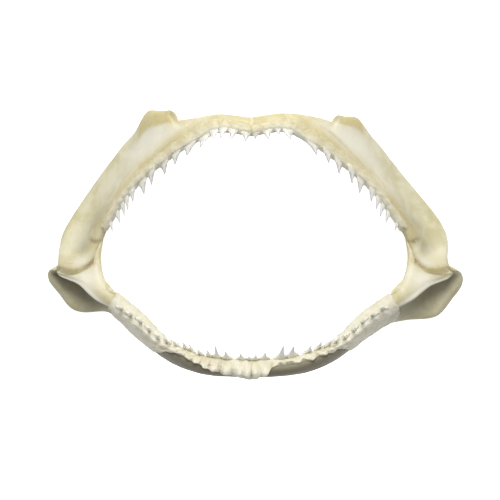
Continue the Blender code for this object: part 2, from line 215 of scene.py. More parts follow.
LOWER = {
    "name": "lower",
    "labial": 1,
    "margin": (
        (0.0, 0.0, -66.2, 87.0),
        (0.143, -26.7, -63.9, 83.0),
        (0.286, -46.9, -55.3, 72.5),
        (0.357, -55.5, -49.5, 66.0),
        (0.429, -62.8, -41.8, 59.0),
        (0.571, -78.0, -30.3, 47.5),
        (0.714, -88.0, -20.9, 38.0),
        (0.857, -92.4, -9.2, 31.5),
        (1.0, -93.6, -2.8, 28.5),
    ),
    "rim": (
        (0.0, 0.0, -70.8, 78.0),
        (0.143, -27.0, -69.6, 74.0),
        (0.286, -47.4, -63.4, 61.0),
        (0.357, -57.5, -57.0, 51.0),
        (0.429, -67.8, -50.6, 40.0),
        (0.571, -87.5, -37.0, 16.0),
        (0.714, -112.1, -34.8, 5.0),
        (0.786, -120.0, -25.7, 4.0),
        (0.857, -125.8, -18.0, 5.7),
        (0.929, -125.0, -11.9, 11.0),
        (1.0, -117.0, -8.8, 19.0),
    ),
    "shape": (
        (0.0, 4.6, 5.0, 3.4, 0.0, 0.0, 0.25),
        (0.25, 4.2, 4.6, 3.2, 0.0, 0.0, 0.25),
        (0.4, 4.6, 4.2, 3.0, 0.0, 0.0, 0.25),
        (0.6, 5.5, 3.3, 2.5, 4.0, 0.5, 0.20),
        (0.7, 5.5, 2.8, 2.4, 7.5, 2.0, 0.22),
        (0.8, 5.3, 2.4, 2.3, 8.5, 3.0, 0.39),
        (0.88, 5.0, 2.8, 2.5, 5.5, 3.0, 0.63),
        (0.94, 4.8, 3.6, 3.0, 2.5, 2.0, 0.79),
        (1.0, 4.5, 5.0, 4.2, 0.0, 1.0, 0.88),
    ),
    "hollow_skew": 0.65,
    "bow_from": 0.76,
    "slide": (
        (0.0, -0.4, -0.5), (0.12, 0.0, -0.5), (0.22, 0.6, -0.4), (0.33, 0.5, 0.0), (0.5, -0.3, 0.1),
        (1.0, 0.0, 0.1),
    ),
    "gum": (
        (0.0, GUM_FOOT, 4.0), (0.03, GUM_FOOT, 3.4), (0.06, GUM_FOOT, 2.2), (0.1, GUM_FOOT, 1.4),
        (0.2, GUM_FOOT, 1.1), (0.26, GUM_FOOT, 1.8), (0.3, GUM_FOOT, 3.6), (0.35, GUM_FOOT, 6.4),
        (0.42, GUM_FOOT, 7.0), (0.72, GUM_FOOT, 7.0),
    ),
    "gum_end": 0.72,
    "gum_taper": 0.012,
    "gum_edge": 0.04,
    "gum_fringe": 0.45,
    "tooth_angle": ((0.0, 0.0), (0.35, 0.0), (0.55, 0.08), (1.0, 0.1)),
    "crown": (
        (0.0, 0.0, 0.85, 0.5), (0.33, 0.0, 0.8, 0.6), (0.46, 0.1, 0.2, 0.97), (1.0, 0.1, 0.1, 0.99),
    ),
    "tooth_forward": ((0.0, -0.3), (0.3, -0.3), (0.5, 0.0), (1.0, 0.0)),
    "crown_reach": 1.25,
}

# Each side of this specimen. Horn: shares where the horn stands, with its rise at both, in mm.
# Horn cap: how far across the amber of its top starts. Ear shade: how dark the painted shading in the ear's
# hollow is.
# Rim shift: (share, x, y) and gum shift: (share, places), how it departs from the tables above.
# Teeth: (share, height, sideways lean of the tip) of every standing tooth.
UNSHIFTED_RIM = ((0.0, 0.0, 0.0), (1.0, 0.0, 0.0))
UNSHIFTED_GUM = ((0.0, 0.0), (1.0, 0.0))
BACK_LOWER_TEETH = (
    (0.347, 7.0, 0.0), (0.393, 7.0, 0.0), (0.442, 6.5, 0.0), (0.492, 6.5, 0.0), (0.545, 6.0, 0.0),
)
LEFT = {
    "name": "left",
    "mirror": 1,
    "horn_rise": (7.0, 8.8),
    "horn": (0.325, 0.43),
    "horn_cap": 0.66,
    "ear_painted_shade": 1.0,
    "rim_shift": {"upper": UNSHIFTED_RIM, "lower": UNSHIFTED_RIM},
    "gum_shift": {"upper": UNSHIFTED_GUM, "lower": UNSHIFTED_GUM},
    "teeth": {
        "upper": (
            (0.017, 6.0, -0.1), (0.057, 7.0, -0.6), (0.094, 7.5, -0.1), (0.134, 9.0, 0.9),
            (0.190, 9.5, 1.2), (0.253, 9.5, -0.9), (0.320, 9.0, -1.8), (0.394, 8.5, -0.5),
            (0.459, 9.0, -1.7), (0.524, 9.0, -0.1), (0.587, 7.8, -1.3), (0.640, 8.0, -0.5),
            (0.685, 7.5, 0.2), (0.740, 6.5, 0.6), (0.803, 5.5, -0.1),
        ),
        "lower": (
            (0.012, 6.0, 0.9), (0.036, 7.0, 1.0), (0.076, 7.5, 0.2), (0.112, 9.5, 1.1),
            (0.142, 6.5, 1.5), (0.172, 5.5, 0.4), (0.203, 7.5, -0.2), (0.234, 7.0, 0.5),
            (0.268, 5.5, 0.0), (0.306, 6.5, 0.0), *BACK_LOWER_TEETH,
        ),
    },
}
RIGHT = {
    "name": "right",
    "mirror": -1,
    "horn_rise": (5.2, 6.1),
    "horn": (0.36, 0.435),
    "horn_cap": 0.74,
    "ear_painted_shade": 0.7,
    "rim_shift": {
        "upper": (
            (0.0, 0.0, 0.0), (0.2, -0.2, 1.7), (0.3, 0.0, 0.4), (0.5, 2.2, -1.7), (0.65, 3.8, -1.8),
            (0.8, 1.8, -0.5), (1.0, 2.8, 0.0),
        ),
        "lower": (
            (0.0, 0.0, 0.0), (0.3, 0.0, 0.3), (0.5, 0.0, -1.0), (0.58, -2.5, -4.9), (0.68, 0.8, -4.0),
            (0.8, 0.8, -3.1), (1.0, 1.2, 0.0),
        ),
    },
    "gum_shift": {
        "upper": UNSHIFTED_GUM,
        "lower": (
            (0.0, 0.0), (0.03, -1.2), (0.07, -2.1), (0.13, -1.4), (0.2, -1.0), (0.27, -0.3),
            (0.3, -1.0), (0.36, 0.0), (0.46, 0.0), (0.56, -3.6), (0.62, -4.6), (1.0, -4.6),
        ),
    },
    "teeth": {
        "upper": (
            (0.013, 4.5, 0.3), (0.053, 6.5, 0.8), (0.090, 5.0, 0.5), (0.130, 8.0, 1.0),
            (0.245, 9.5, -1.6), (0.314, 9.0, -3.0), (0.380, 9.0, -2.3), (0.447, 9.0, -3.1),
            (0.515, 8.5, -1.1), (0.584, 8.0, -1.9), (0.640, 7.5, -0.6), (0.688, 7.5, 0.4),
            (0.738, 6.5, 0.6), (0.808, 5.0, -0.3),
        ),
        "lower": (
            (0.012, 7.0, 0.0), (0.040, 7.5, 0.2), (0.083, 10.5, -1.3), (0.130, 9.0, 1.0),
            (0.193, 6.5, 0.4), (0.238, 6.5, 0.6), (0.270, 6.0, -0.8), (0.306, 6.0, 0.0),
            *BACK_LOWER_TEETH,
        ),
    },
}
HALVES = [(jaw, side) for jaw in (UPPER, LOWER) for side in (LEFT, RIGHT)]

# The web at the left corner of the mouth: (share of its length, x, y, height, half width).
STRAP = (
    (0.0, -90.4, 8.4, 28.0, 0.8),
    (0.12, -91.8, 4.3, 28.3, 1.3),
    (0.25, -93.0, 0.1, 28.5, 1.7),
    (0.4, -93.7, -4.5, 28.8, 2.2),
    (0.55, -93.4, -9.5, 29.8, 2.4),
    (0.7, -91.7, -15.2, 31.8, 2.2),
    (0.82, -89.4, -19.8, 35.6, 2.5),
    (0.92, -85.8, -22.5, 39.9, 2.4),
    (1.0, -81.4, -25.3, 43.2, 1.6),
)

# Stops of the sleeve over a joint: (jaw, share, lift off the cartilage).
CAPSULE_STOPS = (
    (UPPER, 0.9, -0.5),
    (UPPER, 0.94, 0.3),
    (UPPER, 0.98, 0.6),
    (LOWER, 0.98, 0.4),
    (LOWER, 0.94, 0.0),
    (LOWER, 0.9, -0.5),
)


# Shape of a half jaw. Shares is an array; place and lift have a row for each share.


def smooth(keys, shares):
    """Values of a smooth curve through keys, each (share, values...), one row for each share."""
    table = np.array(keys, float)
    at = table[:, 0]
    values = table[:, 1:]
    slopes = np.gradient(values, at, axis=0)
    shares = np.clip(np.atleast_1d(shares).astype(float), at[0], at[-1])
    low = np.minimum(np.searchsorted(at, shares, side="right") - 1, len(at) - 2)
    step = (at[low + 1] - at[low])[:, None]
    t = (shares - at[low])[:, None] / step
    curve = (2 * t**3 - 3 * t**2 + 1) * values[low] + (3 * t**2 - 2 * t**3) * values[low + 1]
    return curve + step * ((t**3 - 2 * t**2 + t) * slopes[low] + (t**3 - t**2) * slopes[low + 1])


def ramp(value, start, end):
    """0 before start, 1 after end, with a smooth rise between."""
    t = np.clip((value - start) / (end - start), 0.0, 1.0)
    return t * t * (3 - 2 * t)


def hump(value, middle, width):
    """1 at middle, falling to nothing about twice width away."""
    return np.exp(-(((value - middle) / width) ** 2))


def spot(share, across, middle, reach):
    """A soft spot of a cartilage, with its middle and its reach as (share, across)."""
    return hump(share, middle[0], reach[0]) * hump(across, middle[1], reach[1])


def unit(vectors):
    """Vectors in the same directions, of length 1."""
    return vectors / np.linalg.norm(vectors, axis=-1, keepdims=True)


def rails(jaw, side, shares):
    """Points of the tooth margin and of the free rim."""
    margin = smooth(jaw["margin"], shares)
    rim = smooth(jaw["rim"], shares)
    rim[:, :2] += smooth(side["rim_shift"][jaw["name"]], shares)
    return margin, rim


def part_name(part, jaw, side):
    return f"{part}_{jaw['name']}_{side['name']}"


def how_far_across(angle):
    """0 on the margin, 1 on the rim."""
    return (1 - np.cos(angle)) / 2


def place_of(angle):
    """The place on a section at an angle from the margin, where nothing has slid."""
    return angle / (2 * math.pi) * SECTION_POINTS - 0.5


def all_round(count):
    """Places round a whole section, the margin first."""
    return np.linspace(-0.5, SECTION_POINTS - 0.5, count, endpoint=False)


def horn(jaw, side, share, across):
    """How far the horn of an upper half raises its rim towards +Y. It broadens towards its foot."""
    if jaw is LOWER:
        return np.zeros_like(across)
    start, end = side["horn"]
    low, high = side["horn_rise"]
    spread = 3.0 * (1 - across)
    rise = ramp(share, start - HORN_STEP * (1 + spread), start + 0.01 * spread)
    rise = rise * (1 - ramp(share, end - 0.01 * spread, end + HORN_FALL * (1 + 0.5 * spread)))
    return rise * (low + (high - low) * ramp(share, start, end))


def axes(jaw, side, shares):
    """Margin points, chords, chord lengths, labial normals and tangents towards the joint."""
    shares = np.atleast_1d(shares).astype(float)
    margin, rim = rails(jaw, side, shares)
    step = 0.01
    tangent = sum(rails(jaw, side, np.minimum(shares + step, 1.0)))
    tangent -= sum(rails(jaw, side, np.maximum(shares - step, 0.0)))
    tangent[shares < step, 1:] = 0.0
    tangent = unit(tangent)
    length = np.linalg.norm(rim - margin, axis=1)
    chord = unit(rim - margin)
    return margin, chord, length, unit(jaw["labial"] * np.cross(tangent, chord)), tangent


def outline(jaw, shares, length, angle, knob):
    """Distance from the margin and labial offset of the sections' outlines, at angles."""
    across = how_far_across(angle)
    table = smooth(jaw["shape"], shares).T[:, :, None]
    margin_half, middle_half, rim_half, hollow, ridge, brow = table
    half = margin_half * (1 - across) ** 2 + middle_half * 2 * across * (1 - across)
    half = half + (rim_half + knob) * across**2
    swell = np.abs(np.sin(angle)) ** BLUNTNESS * np.sign(np.sin(angle))
    inward = np.maximum(across - brow, 0.0) / (1 - brow)
    bend = -hollow * np.sin(np.pi * inward ** jaw["hollow_skew"]) ** 2
    bend = bend + ridge * hump(across, 0.75 * brow, 0.12 + 0.2 * brow)
    return np.stack([across * length[:, None], bend + half * swell], axis=-1)


def section_angle(jaw, shares, place):
    """The angle of a place on the section. Places -0.5 and 15.5 lie on the margin, 7.5 on the rim."""
    angle = 2 * np.pi * (place + 0.5) / SECTION_POINTS
    labial, lingual = smooth(jaw["slide"], shares).T[:, :, None]
    return angle - np.where(np.sin(angle) > 0, labial, lingual) * np.sin(angle)


def surface(jaw, side, shares, place, lift=0.0):
    """Points at places round the sections, lifted off the cartilage by lift."""
    shares = np.atleast_1d(shares).astype(float)
    place = np.broadcast_to(place, (len(shares), np.shape(place)[-1])).astype(float)
    margin, chord, length, normal, _ = axes(jaw, side, shares)
    step = 0.05
    angle = section_angle(jaw, shares, place)
    across = how_far_across(angle)
    rise = horn(jaw, side, shares[:, None], across)
    turned = (angle - step, angle, angle + step)
    before, flat, after = (outline(jaw, shares, length, a, KNOB * rise) for a in turned)
    along = unit(after - before)
    outwards = np.stack([-along[..., 1], along[..., 0]], axis=-1)
    flat = flat + np.broadcast_to(lift, place.shape)[..., None] * outwards
    points = margin[:, None] + flat[..., :1] * chord[:, None] + flat[..., 1:] * normal[:, None]
    points[..., 1] += rise * ramp(across, 0.3, 0.95)
    bow = ramp(shares[:, None], jaw["bow_from"], 1.02) * np.sin(np.pi * across**0.6)
    points[..., 1] -= JOINT_BOW * bow
    return points


def crest(jaw, share, place):
    """How far the gum and the teeth of the upper jaw stand up towards +Z from its blunt margin."""
    if jaw is LOWER:
        return np.zeros_like(place)
    height = CREST_FRONT + (CREST_SIDE - CREST_FRONT) * ramp(share, 0.05, 0.3)
    return height * (1 - ramp(place, -0.8, 1.8)) * ramp(place, GUM_FOOT, -2.0)


def overhang(jaw, side, share, place):
    """How far the upper gum and teeth hang into the mouth beyond the margin, in x and y."""
    if jaw is LOWER:
        return np.zeros((*place.shape, 2))
    tangent = axes(jaw, side, share)[4]
    inward = unit(np.stack([-tangent[:, 1], tangent[:, 0]], axis=-1))
    held = (1 - ramp(place, 0.0, 1.4)) * ramp(place, GUM_FOOT, -1.6)
    reach = smooth(jaw["hang"], share) * held.reshape(len(share), -1)
    return (reach[..., None] * inward[:, None]).reshape(*place.shape, 2)


def placed(points, side):
    """Points of a left half in metres, on their own side of the specimen and where it lies."""
    points = np.array(points, float)
    points[..., 0] = side["mirror"] * points[..., 0] + LEAN * np.maximum(LEVEL - points[..., 2], 0.0)
    points -= np.array([*MIDDLE, FLOOR])
    points[..., 2] = np.maximum(points[..., 2], 0.0)
    return points * MM


def wobble(seed, x, y=0.0):
    """Smooth noise between -1 and 1 with cells of 1, from a fixed seed."""
    size = 64
    table = np.random.RandomState(seed).uniform(-1, 1, (size, size))
    x, y = np.broadcast_arrays(np.asarray(x, float), np.asarray(y, float))
    i, j = np.floor(x).astype(int), np.floor(y).astype(int)
    u, v = x - i, y - j
    u, v = u * u * (3 - 2 * u), v * v * (3 - 2 * v)
    corner = [[table[(i + a) % size, (j + b) % size] for b in (0, 1)] for a in (0, 1)]
    low = corner[0][0] * (1 - v) + corner[0][1] * v
    high = corner[1][0] * (1 - v) + corner[1][1] * v
    return low * (1 - u) + high * u


def rough(seed, x, y=0.0):
    """Wobble in three octaves, between -1 and 1 again."""
    x, y = np.asarray(x, float), np.asarray(y, float)
    return sum(wobble(seed + k, x * 2**k, y * 2**k) / 2**k for k in range(3)) / (1 + 1 / 2 + 1 / 4)


def seed_of(jaw, side):
    """A fixed seed for each half jaw."""
    return 10 * HALVES.index((jaw, side)) + 3


# Meshes and pieces


def mesh_object(name, points, faces, marks=None):
    """A mesh object from points in metres, with an attribute on its points for each mark."""
    mesh = bpy.data.meshes.new(name)
    mesh.from_pydata([tuple(p) for p in points], [], faces)
    for key, values in (marks or {}).items():
        values = np.asarray(values, np.float32)
        kind = "FLOAT" if values.ndim == 1 else "FLOAT_VECTOR"
        layer = mesh.attributes.new(key, kind, "POINT")
        layer.data.foreach_set("value" if values.ndim == 1 else "vector", values.ravel())
    obj = bpy.data.objects.new(name, mesh)
    bpy.context.scene.collection.objects.link(obj)
    turn_outwards(mesh)
    mesh.polygons.foreach_set("use_smooth", [True] * len(mesh.polygons))
    return obj


def turn_outwards(mesh):
    """Makes the faces of a closed mesh look outwards."""
    work = bmesh.new()
    work.from_mesh(mesh)
    bmesh.ops.recalc_face_normals(work, faces=work.faces)
    work.to_mesh(mesh)
    work.free()


def tube(name, rings, marks):
    """A closed tube through rings of points, shape (rings, points, 3), with flat ends."""
    count, around = rings.shape[:2]
    faces = []
    for row in range(count - 1):
        for k in range(around):
            n = (k + 1) % around
            a = row * around
            faces.append((a + k, a + n, a + around + n, a + around + k))
    faces.append(tuple(range(around))[::-1])
    faces.append(tuple(range((count - 1) * around, count * around)))
    marks = {key: np.asarray(value).reshape(count * around) for key, value in marks.items()}
    return mesh_object(name, rings.reshape(-1, 3), faces, marks)


def ship(obj, finish, node):
    """Makes obj a finished piece that stands for this node of the frame."""
    obj.data.materials.clear()
    obj.data.materials.append(finish)
    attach(obj, "root")
    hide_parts(node)
    return obj


def applied(obj):
    """Turns obj's modifiers into plain mesh."""
    graph = bpy.context.evaluated_depsgraph_get()
    mesh = bpy.data.meshes.new_from_object(obj.evaluated_get(graph), depsgraph=graph)
    old = obj.data
    obj.modifiers.clear()
    obj.data = mesh
    bpy.data.meshes.remove(old)
    turn_outwards(mesh)
    return obj


# Node trees


class Term:
    """A number, vector or colour in a node tree. Sums with it add nodes to the tree."""

    def __init__(self, tree, socket):
        self.tree = tree
        self.socket = socket

    def maths(self, operation, *values):
        """The result of a maths node that is fed these values."""
        node = self.tree.nodes.new("ShaderNodeMath")
        node.operation = operation
        for value, socket in zip(values, node.inputs):
            plug(self.tree, socket, value)
        return Term(self.tree, node.outputs[0])

    def __add__(self, other):
        return self.maths("ADD", self, other)

    __radd__ = __add__

    def __sub__(self, other):
        return self.maths("SUBTRACT", self, other)

    def __rsub__(self, other):
        return self.maths("SUBTRACT", other, self)

    def __mul__(self, other):
        return self.maths("MULTIPLY", self, other)

    __rmul__ = __mul__

    def __rtruediv__(self, other):
        return self.maths("DIVIDE", other, self)

    def between(self, low, high):
        """0 at low, 1 at high, with a smooth rise between. High may be the smaller."""
        node = self.tree.nodes.new("ShaderNodeMapRange")
        node.interpolation_type = "SMOOTHSTEP"
        for value, socket in zip((self, low, high, 0.0, 1.0), node.inputs):
            plug(self.tree, socket, value)
        return Term(self.tree, node.outputs[0])


def plug(tree, socket, value):
    """Links a term to a socket, or sets the socket to a plain value."""
    if isinstance(value, Term):
        tree.links.new(value.socket, socket)
    else:
        socket.default_value = value


def socket_called(sockets, name):
    """The socket with this identifier or name. An underscore in it may stand for a space."""
    name = name.replace("_", " ")
    for socket in sockets:
        if socket.identifier.replace("_", " ") == name and not socket.is_unavailable:
            return socket
    return next(s for s in sockets if s.name == name and not s.is_unavailable)


class Nodes:
    """A node tree that is filled by calls: each adds nodes and gives a term."""

    def __init__(self, tree):
        self.tree = tree

    def add(self, kind, settings=None, out=0, **inputs):
        """Adds a node: its type, its settings, then its inputs. Returns one of its outputs."""
        node = self.tree.nodes.new(kind)
        for key, value in (settings or {}).items():
            setattr(node, key, value)
        for key, value in inputs.items():
            plug(self.tree, socket_called(node.inputs, key), value)
        found = socket_called(node.outputs, out) if isinstance(out, str) else node.outputs[out]
        return Term(self.tree, found)

    def named(self, name, kind):
        """A named attribute of the geometry."""
        kind = {"data_type": kind}
        return self.add("GeometryNodeInputNamedAttribute", kind, "Attribute", Name=name)

    def scaled(self, vector, size):
        """A vector made size times as long."""
        return self.add("ShaderNodeVectorMath", {"operation": "SCALE"}, 0, Vector=vector, Scale=size)

    def chance(self, seed):
        """A random number from -1 to 1 for each point or instance."""
        limits = {"Min_001": -1.0, "Max_001": 1.0}
        return self.add("FunctionNodeRandomValue", {"data_type": "FLOAT"}, "Value_001", Seed=seed, **limits)

    def finished(self, geometry, material):
        """Real geometry in a material, as the output of the tree."""
        done = self.add("GeometryNodeRealizeInstances", Geometry=geometry)
        done = self.add("GeometryNodeSetMaterial", Geometry=done, Material=material)
        end = self.tree.nodes.new("NodeGroupOutput")
        self.tree.links.new(done.socket, end.inputs[0])
        return self.tree


class Finish(Nodes):
    """A material with a principled shader."""

    def __init__(self, name, **constants):
        self.material = bpy.data.materials.new(name)
        self.material.use_nodes = True
        super().__init__(self.material.node_tree)
        self.shader = self.tree.nodes["Principled BSDF"]
        self.set(**constants)

    def set(self, **inputs):
        """Sets inputs of the shader."""
        for key, value in inputs.items():
            plug(self.tree, socket_called(self.shader.inputs, key), value)

    def mark(self, name):
        """A mark of the mesh, as tube and mesh_object write it."""
        return self.add("ShaderNodeAttribute", {"attribute_name": name}, "Fac")

    def place(self, stretch=(1.0, 1.0, 1.0)):
        """Object coordinates in mm, stretched."""
        at = self.add("ShaderNodeTexCoord", out="Object")
        scale = tuple(1 / MM / s for s in stretch)
        return self.add("ShaderNodeMapping", {"vector_type": "POINT"}, Vector=at, Scale=scale)

    def noise(self, cell, detail=3.0, roughness=0.55, distortion=0.0, stretch=(1.0, 1.0, 1.0)):
        """Noise about 0.5 with features of cell mm."""
        return self.add(
            "ShaderNodeTexNoise",
            Vector=self.place(stretch),
            Scale=1 / cell,
            Detail=detail,
            Roughness=roughness,
            Distortion=distortion,
        )

    def mix(self, share, under, over):
        """Over in this share and under in the rest. Each is a term or red, green and blue."""
        under, over = (c if isinstance(c, Term) else (*c, 1.0) for c in (under, over))
        colours = {"Factor_Float": share, "A_Color": under, "B_Color": over}
        return self.add("ShaderNodeMix", {"data_type": "RGBA"}, "Result_Color", **colours)

    def layers(self, colour, *layers):
        """A colour with layers over it, each (share, colour)."""
        for share, over in layers:
            colour = self.mix(share, colour, over)
        return colour

    def bump(self, height, depth):
        """Shading of a relief this deep, in mm."""
        self.set(Normal=self.add("ShaderNodeBump", Height=height, Distance=depth * MM, Strength=1.0))


def cartilage_finish(settings):
    """Dried cartilage: cream, cloudy, stained amber near the gum and the joints, with painted shading and
    painted highlights where its marks say.
    """
    f = Finish(
        "dried_cartilage",
        Subsurface_Weight=0.12,
        Subsurface_Radius=(1.0, 0.7, 0.4),
        Subsurface_Scale=3.0 * MM,
        Specular_IOR_Level=0.4,
    )
    clouds = f.noise(14.0, 4.0, 0.55, 0.6)
    streaks = f.noise(4.0, 4.0, 0.6, 1.2, (1.0, 1.0, 2.5))
    fine = f.noise(0.9, 3.0, 0.6)
    colour = f.mix(clouds.between(0.34, 0.66), settings.cartilage, settings.cartilage_pale)
    colour = f.layers(
        colour,
        (f.mark("stain") * (0.6 + 0.5 * streaks.between(0.35, 0.65)), settings.stain),
        # painted shading: darkens the lower jaw's front band, the ears' hollows and hollows of the upper
        # blades
        (f.mark("shade"), settings.shade),
        (f.mark("white"), settings.white),
        (f.mark("dark") * streaks.between(0.2, 0.6), settings.crevice),
        (fine.between(0.55, 0.8) * 0.12, settings.crevice),
    )
    f.set(Base_Color=colour, Roughness=0.42 + 0.2 * streaks)
    tiles = f.add("ShaderNodeTexVoronoi", {"feature": "SMOOTH_F1"}, 0, Vector=f.place(), Scale=1.6)
    f.bump(streaks * 0.5 + fine * 0.25 + tiles * 0.1, 0.5)
    return f.material


def gum_finish(settings):
    """Dried gum: amber and buff skin, paler over the roots, blotched and wrinkled, with painted light on
    its sides that face away from the lamp and painted shading in its folds and crevices.
    """
    f = Finish(
        "dried_gum",
        Subsurface_Weight=0.15,
        Subsurface_Radius=(1.0, 0.6, 0.3),
        Subsurface_Scale=3.0 * MM,
        Specular_IOR_Level=0.45,
    )
    clouds = f.noise(6.0, 4.0, 0.6, 0.8)
    blotches = f.noise(1.8, 3.0, 0.6, 0.5)
    fine = f.noise(0.6, 3.0, 0.6)
    colour = f.mix(clouds.between(0.35, 0.65), settings.gum_colour, settings.gum_pale)
    colour = f.layers(
        colour,
        (f.mark("stain") * blotches.between(0.2, 0.65), settings.stain),
        (f.mark("white") * blotches.between(0.25, 0.6), settings.white),
        (f.mark("dark") * blotches.between(0.75, 0.35), settings.crevice),
        (blotches.between(0.6, 0.75) * 0.3, settings.lilac),
    )
    f.set(Base_Color=colour, Roughness=0.36 + 0.25 * blotches)
    f.bump(blotches * 0.6 + fine * 0.3, 0.6)
    return f.material


def tooth_finish(settings):
    """Tooth: matt cream root, glossy translucent crown with greyish lilac edges. The front lower crowns are
    lightened with painted light.
    """
    f = Finish(
        "enamelled_tooth",
        Subsurface_Weight=0.8,
        Subsurface_Radius=(1.0, 0.9, 0.85),
        Subsurface_Scale=4.0 * MM,
        Coat_Weight=0.25,
        Coat_Roughness=0.08,
    )
    rise = f.mark("rise")
    edge = f.mark("edge")
    clouds = f.noise(2.0, 3.0)
    crown = f.layers(
        settings.enamel,
        (edge + rise.between(0.7, 1.0) * 0.3, settings.lilac),
        # a positive mark greys a crown; a negative one lightens it with painted light
        (f.mark("dull"), settings.lilac),
        (f.mark("dull") * -1.0, settings.painted_light_crown),
    )
    root = f.mix(clouds.between(0.3, 0.7), settings.white, settings.gum_pale)
    above = (rise + 0.15 * clouds).between(0.28, 0.46)
    f.set(Base_Color=f.mix(above, root, crown), Roughness=0.45 - 0.25 * above)
    f.bump(f.noise(0.25, 2.0), 0.08)
    return f.material


def ligament_finish(settings):
    """Ligament: smooth dried tissue with fibres and amber hollows, and painted shading along one edge of
    the web.
    """
    f = Finish(
        "dried_ligament",
        Subsurface_Weight=0.15,
        Subsurface_Radius=(1.0, 0.65, 0.35),
        Subsurface_Scale=3.0 * MM,
    )
    clouds = f.noise(5.0, 3.0, 0.55, 0.5)
    fibres = f.noise(0.8, 3.0, 0.6, 0.4, (1.0, 5.0, 3.0))
    colour = f.mix(clouds.between(0.35, 0.65), settings.gum_pale, settings.cartilage_pale)
    colour = f.layers(
        colour,
        (f.mark("stain") * clouds.between(0.2, 0.6), settings.stain),
        (f.mark("dark"), settings.crevice),
    )
    f.set(Base_Color=colour, Roughness=0.38 + 0.2 * fibres)
    f.bump(fibres * 0.5 + clouds * 0.3, 0.4)
    return f.material


def floor_finish(settings):
    """Plain pale paper, lit a little from below."""
    f = Finish("pale_floor", Specular_IOR_Level=0.2)
    paper = f.noise(40.0, 2.0)
    f.set(Base_Color=f.mix(paper, settings.floor, PURE_WHITE), Roughness=0.8 + 0.1 * paper)
    f.set(Emission_Color=(*PURE_WHITE, 1.0), Emission_Strength=settings.floor_glow)
    return f.material


FINISHES = {
    "dried_cartilage": cartilage_finish,
    "dried_gum": gum_finish,
    "enamelled_tooth": tooth_finish,
    "dried_ligament": ligament_finish,
    "pale_floor": floor_finish,
}


def found_finish(settings, name):
    """The material of this name, made the first time that it is asked for."""
    return bpy.data.materials.get(name) or FINISHES[name](settings)


# Geometry Nodes


def node_group(name, inputs):
    """A geometry node group, filled by calls, and its inputs: a geometry and these further ones."""
    group = bpy.data.node_groups.new(name, "GeometryNodeTree")
    group.interface.new_socket("Geometry", in_out="INPUT", socket_type="NodeSocketGeometry")
    group.interface.new_socket("Geometry", in_out="OUTPUT", socket_type="NodeSocketGeometry")
    for key, kind, default in inputs:
        socket = group.interface.new_socket(key, in_out="INPUT", socket_type="NodeSocket" + kind)
        if default is not None:
            socket.default_value = default
    start = group.nodes.new("NodeGroupInput")
    return Nodes(group), {s.name: Term(group, s) for s in start.outputs if s.name}


def relief_group(name):
    """Moves a surface along its normals by seeded noise, as strongly as its relief mark says."""
    inputs = (
        ("Amount", "Float", 0.3 * MM),
        ("Cell", "Float", 5.0 * MM),
        ("Detail", "Float", 3.0),
        ("Seed", "Float", 1.0),
        ("Material", "Material", None),
    )
    work, given = node_group(name, inputs)
    noise = work.add(
        "ShaderNodeTexNoise",
        {"noise_dimensions": "4D"},
        0,
        Vector=work.add("GeometryNodeInputPosition"),
        W=given["Seed"],
        Scale=1.0 / given["Cell"],
        Detail=given["Detail"],
    )
    height = (noise - 0.5) * 2.0 * given["Amount"] * work.named("relief", "FLOAT")
    offset = work.scaled(work.add("GeometryNodeInputNormal"), height)
    moved = work.add("GeometryNodeSetPosition", Geometry=given["Geometry"], Offset=offset)
    return work.finished(moved, given["Material"])


def tooth_row_group(name):
    """Puts a tooth on every point, along the point's own wide, through and crown vectors."""
    inputs = (
        ("Tooth", "Object", None),
        ("Sway", "Float", 0.04),
        ("Seed", "Int", 1),
        ("Material", "Material", None),
    )
    work, given = node_group(name, inputs)
    apart = {"transform_space": "ORIGINAL"}
    tooth = work.add("GeometryNodeObjectInfo", apart, "Geometry", Object=given["Tooth"])
    teeth = work.add("GeometryNodeInstanceOnPoints", Points=given["Geometry"], Instance=tooth)
    growth, lean = (given["Sway"] * work.chance(given["Seed"] + float(k)) for k in SWAY_SEEDS)
    wide, through, crown = (work.named(name, "FLOAT_VECTOR") for name in ("wide", "through", "crown"))
    leaning = work.scaled(wide, lean)
    crown = work.scaled(crown, 1.0 + growth)
    crown = work.add("ShaderNodeVectorMath", {"operation": "ADD"}, 0, Vector=crown, Vector_001=leaning)
    here = work.add("GeometryNodeInputPosition")
    cells = {}
    for column, vector in enumerate((wide, through, crown, here), 1):
        for row, axis in enumerate("XYZ", 1):
            part = work.add("ShaderNodeSeparateXYZ", out=axis, Vector=vector)
            cells[f"Column {column} Row {row}"] = part
    matrix = work.add("FunctionNodeCombineMatrix", **cells)
    teeth = work.add("GeometryNodeSetInstanceTransform", Instances=teeth, Transform=matrix)
    return work.finished(teeth, given["Material"])


GROUPS = {"Surface Relief": relief_group, "Tooth Row": tooth_row_group}


def use_group(obj, name, **values):
    """Runs a node group on obj and turns the result into plain mesh. Each group is made only once."""
    group = bpy.data.node_groups.get(name) or GROUPS[name](name)
    modifier = obj.modifiers.new(group.name, "NODES")
    modifier.node_group = group
    for item in group.interface.items_tree:
        if item.in_out == "INPUT" and item.name in values:
            modifier[item.identifier] = values[item.name]
    obj.update_tag()
    return applied(obj)


# Cartilages


def cartilage_shares(jaw, side):
    """Shares of the sections, closer together where the horn rises and falls."""
    places = list(np.linspace(0.0, 1.0, CARTILAGE_SECTIONS))
    if jaw is UPPER:
        start, end = side["horn"]
        places += list(np.linspace(start - HORN_STEP, start, HORN_SECTIONS))
        places += list(np.linspace(end, end + HORN_FALL, HORN_SECTIONS))
    return np.unique(np.round(places, 5))


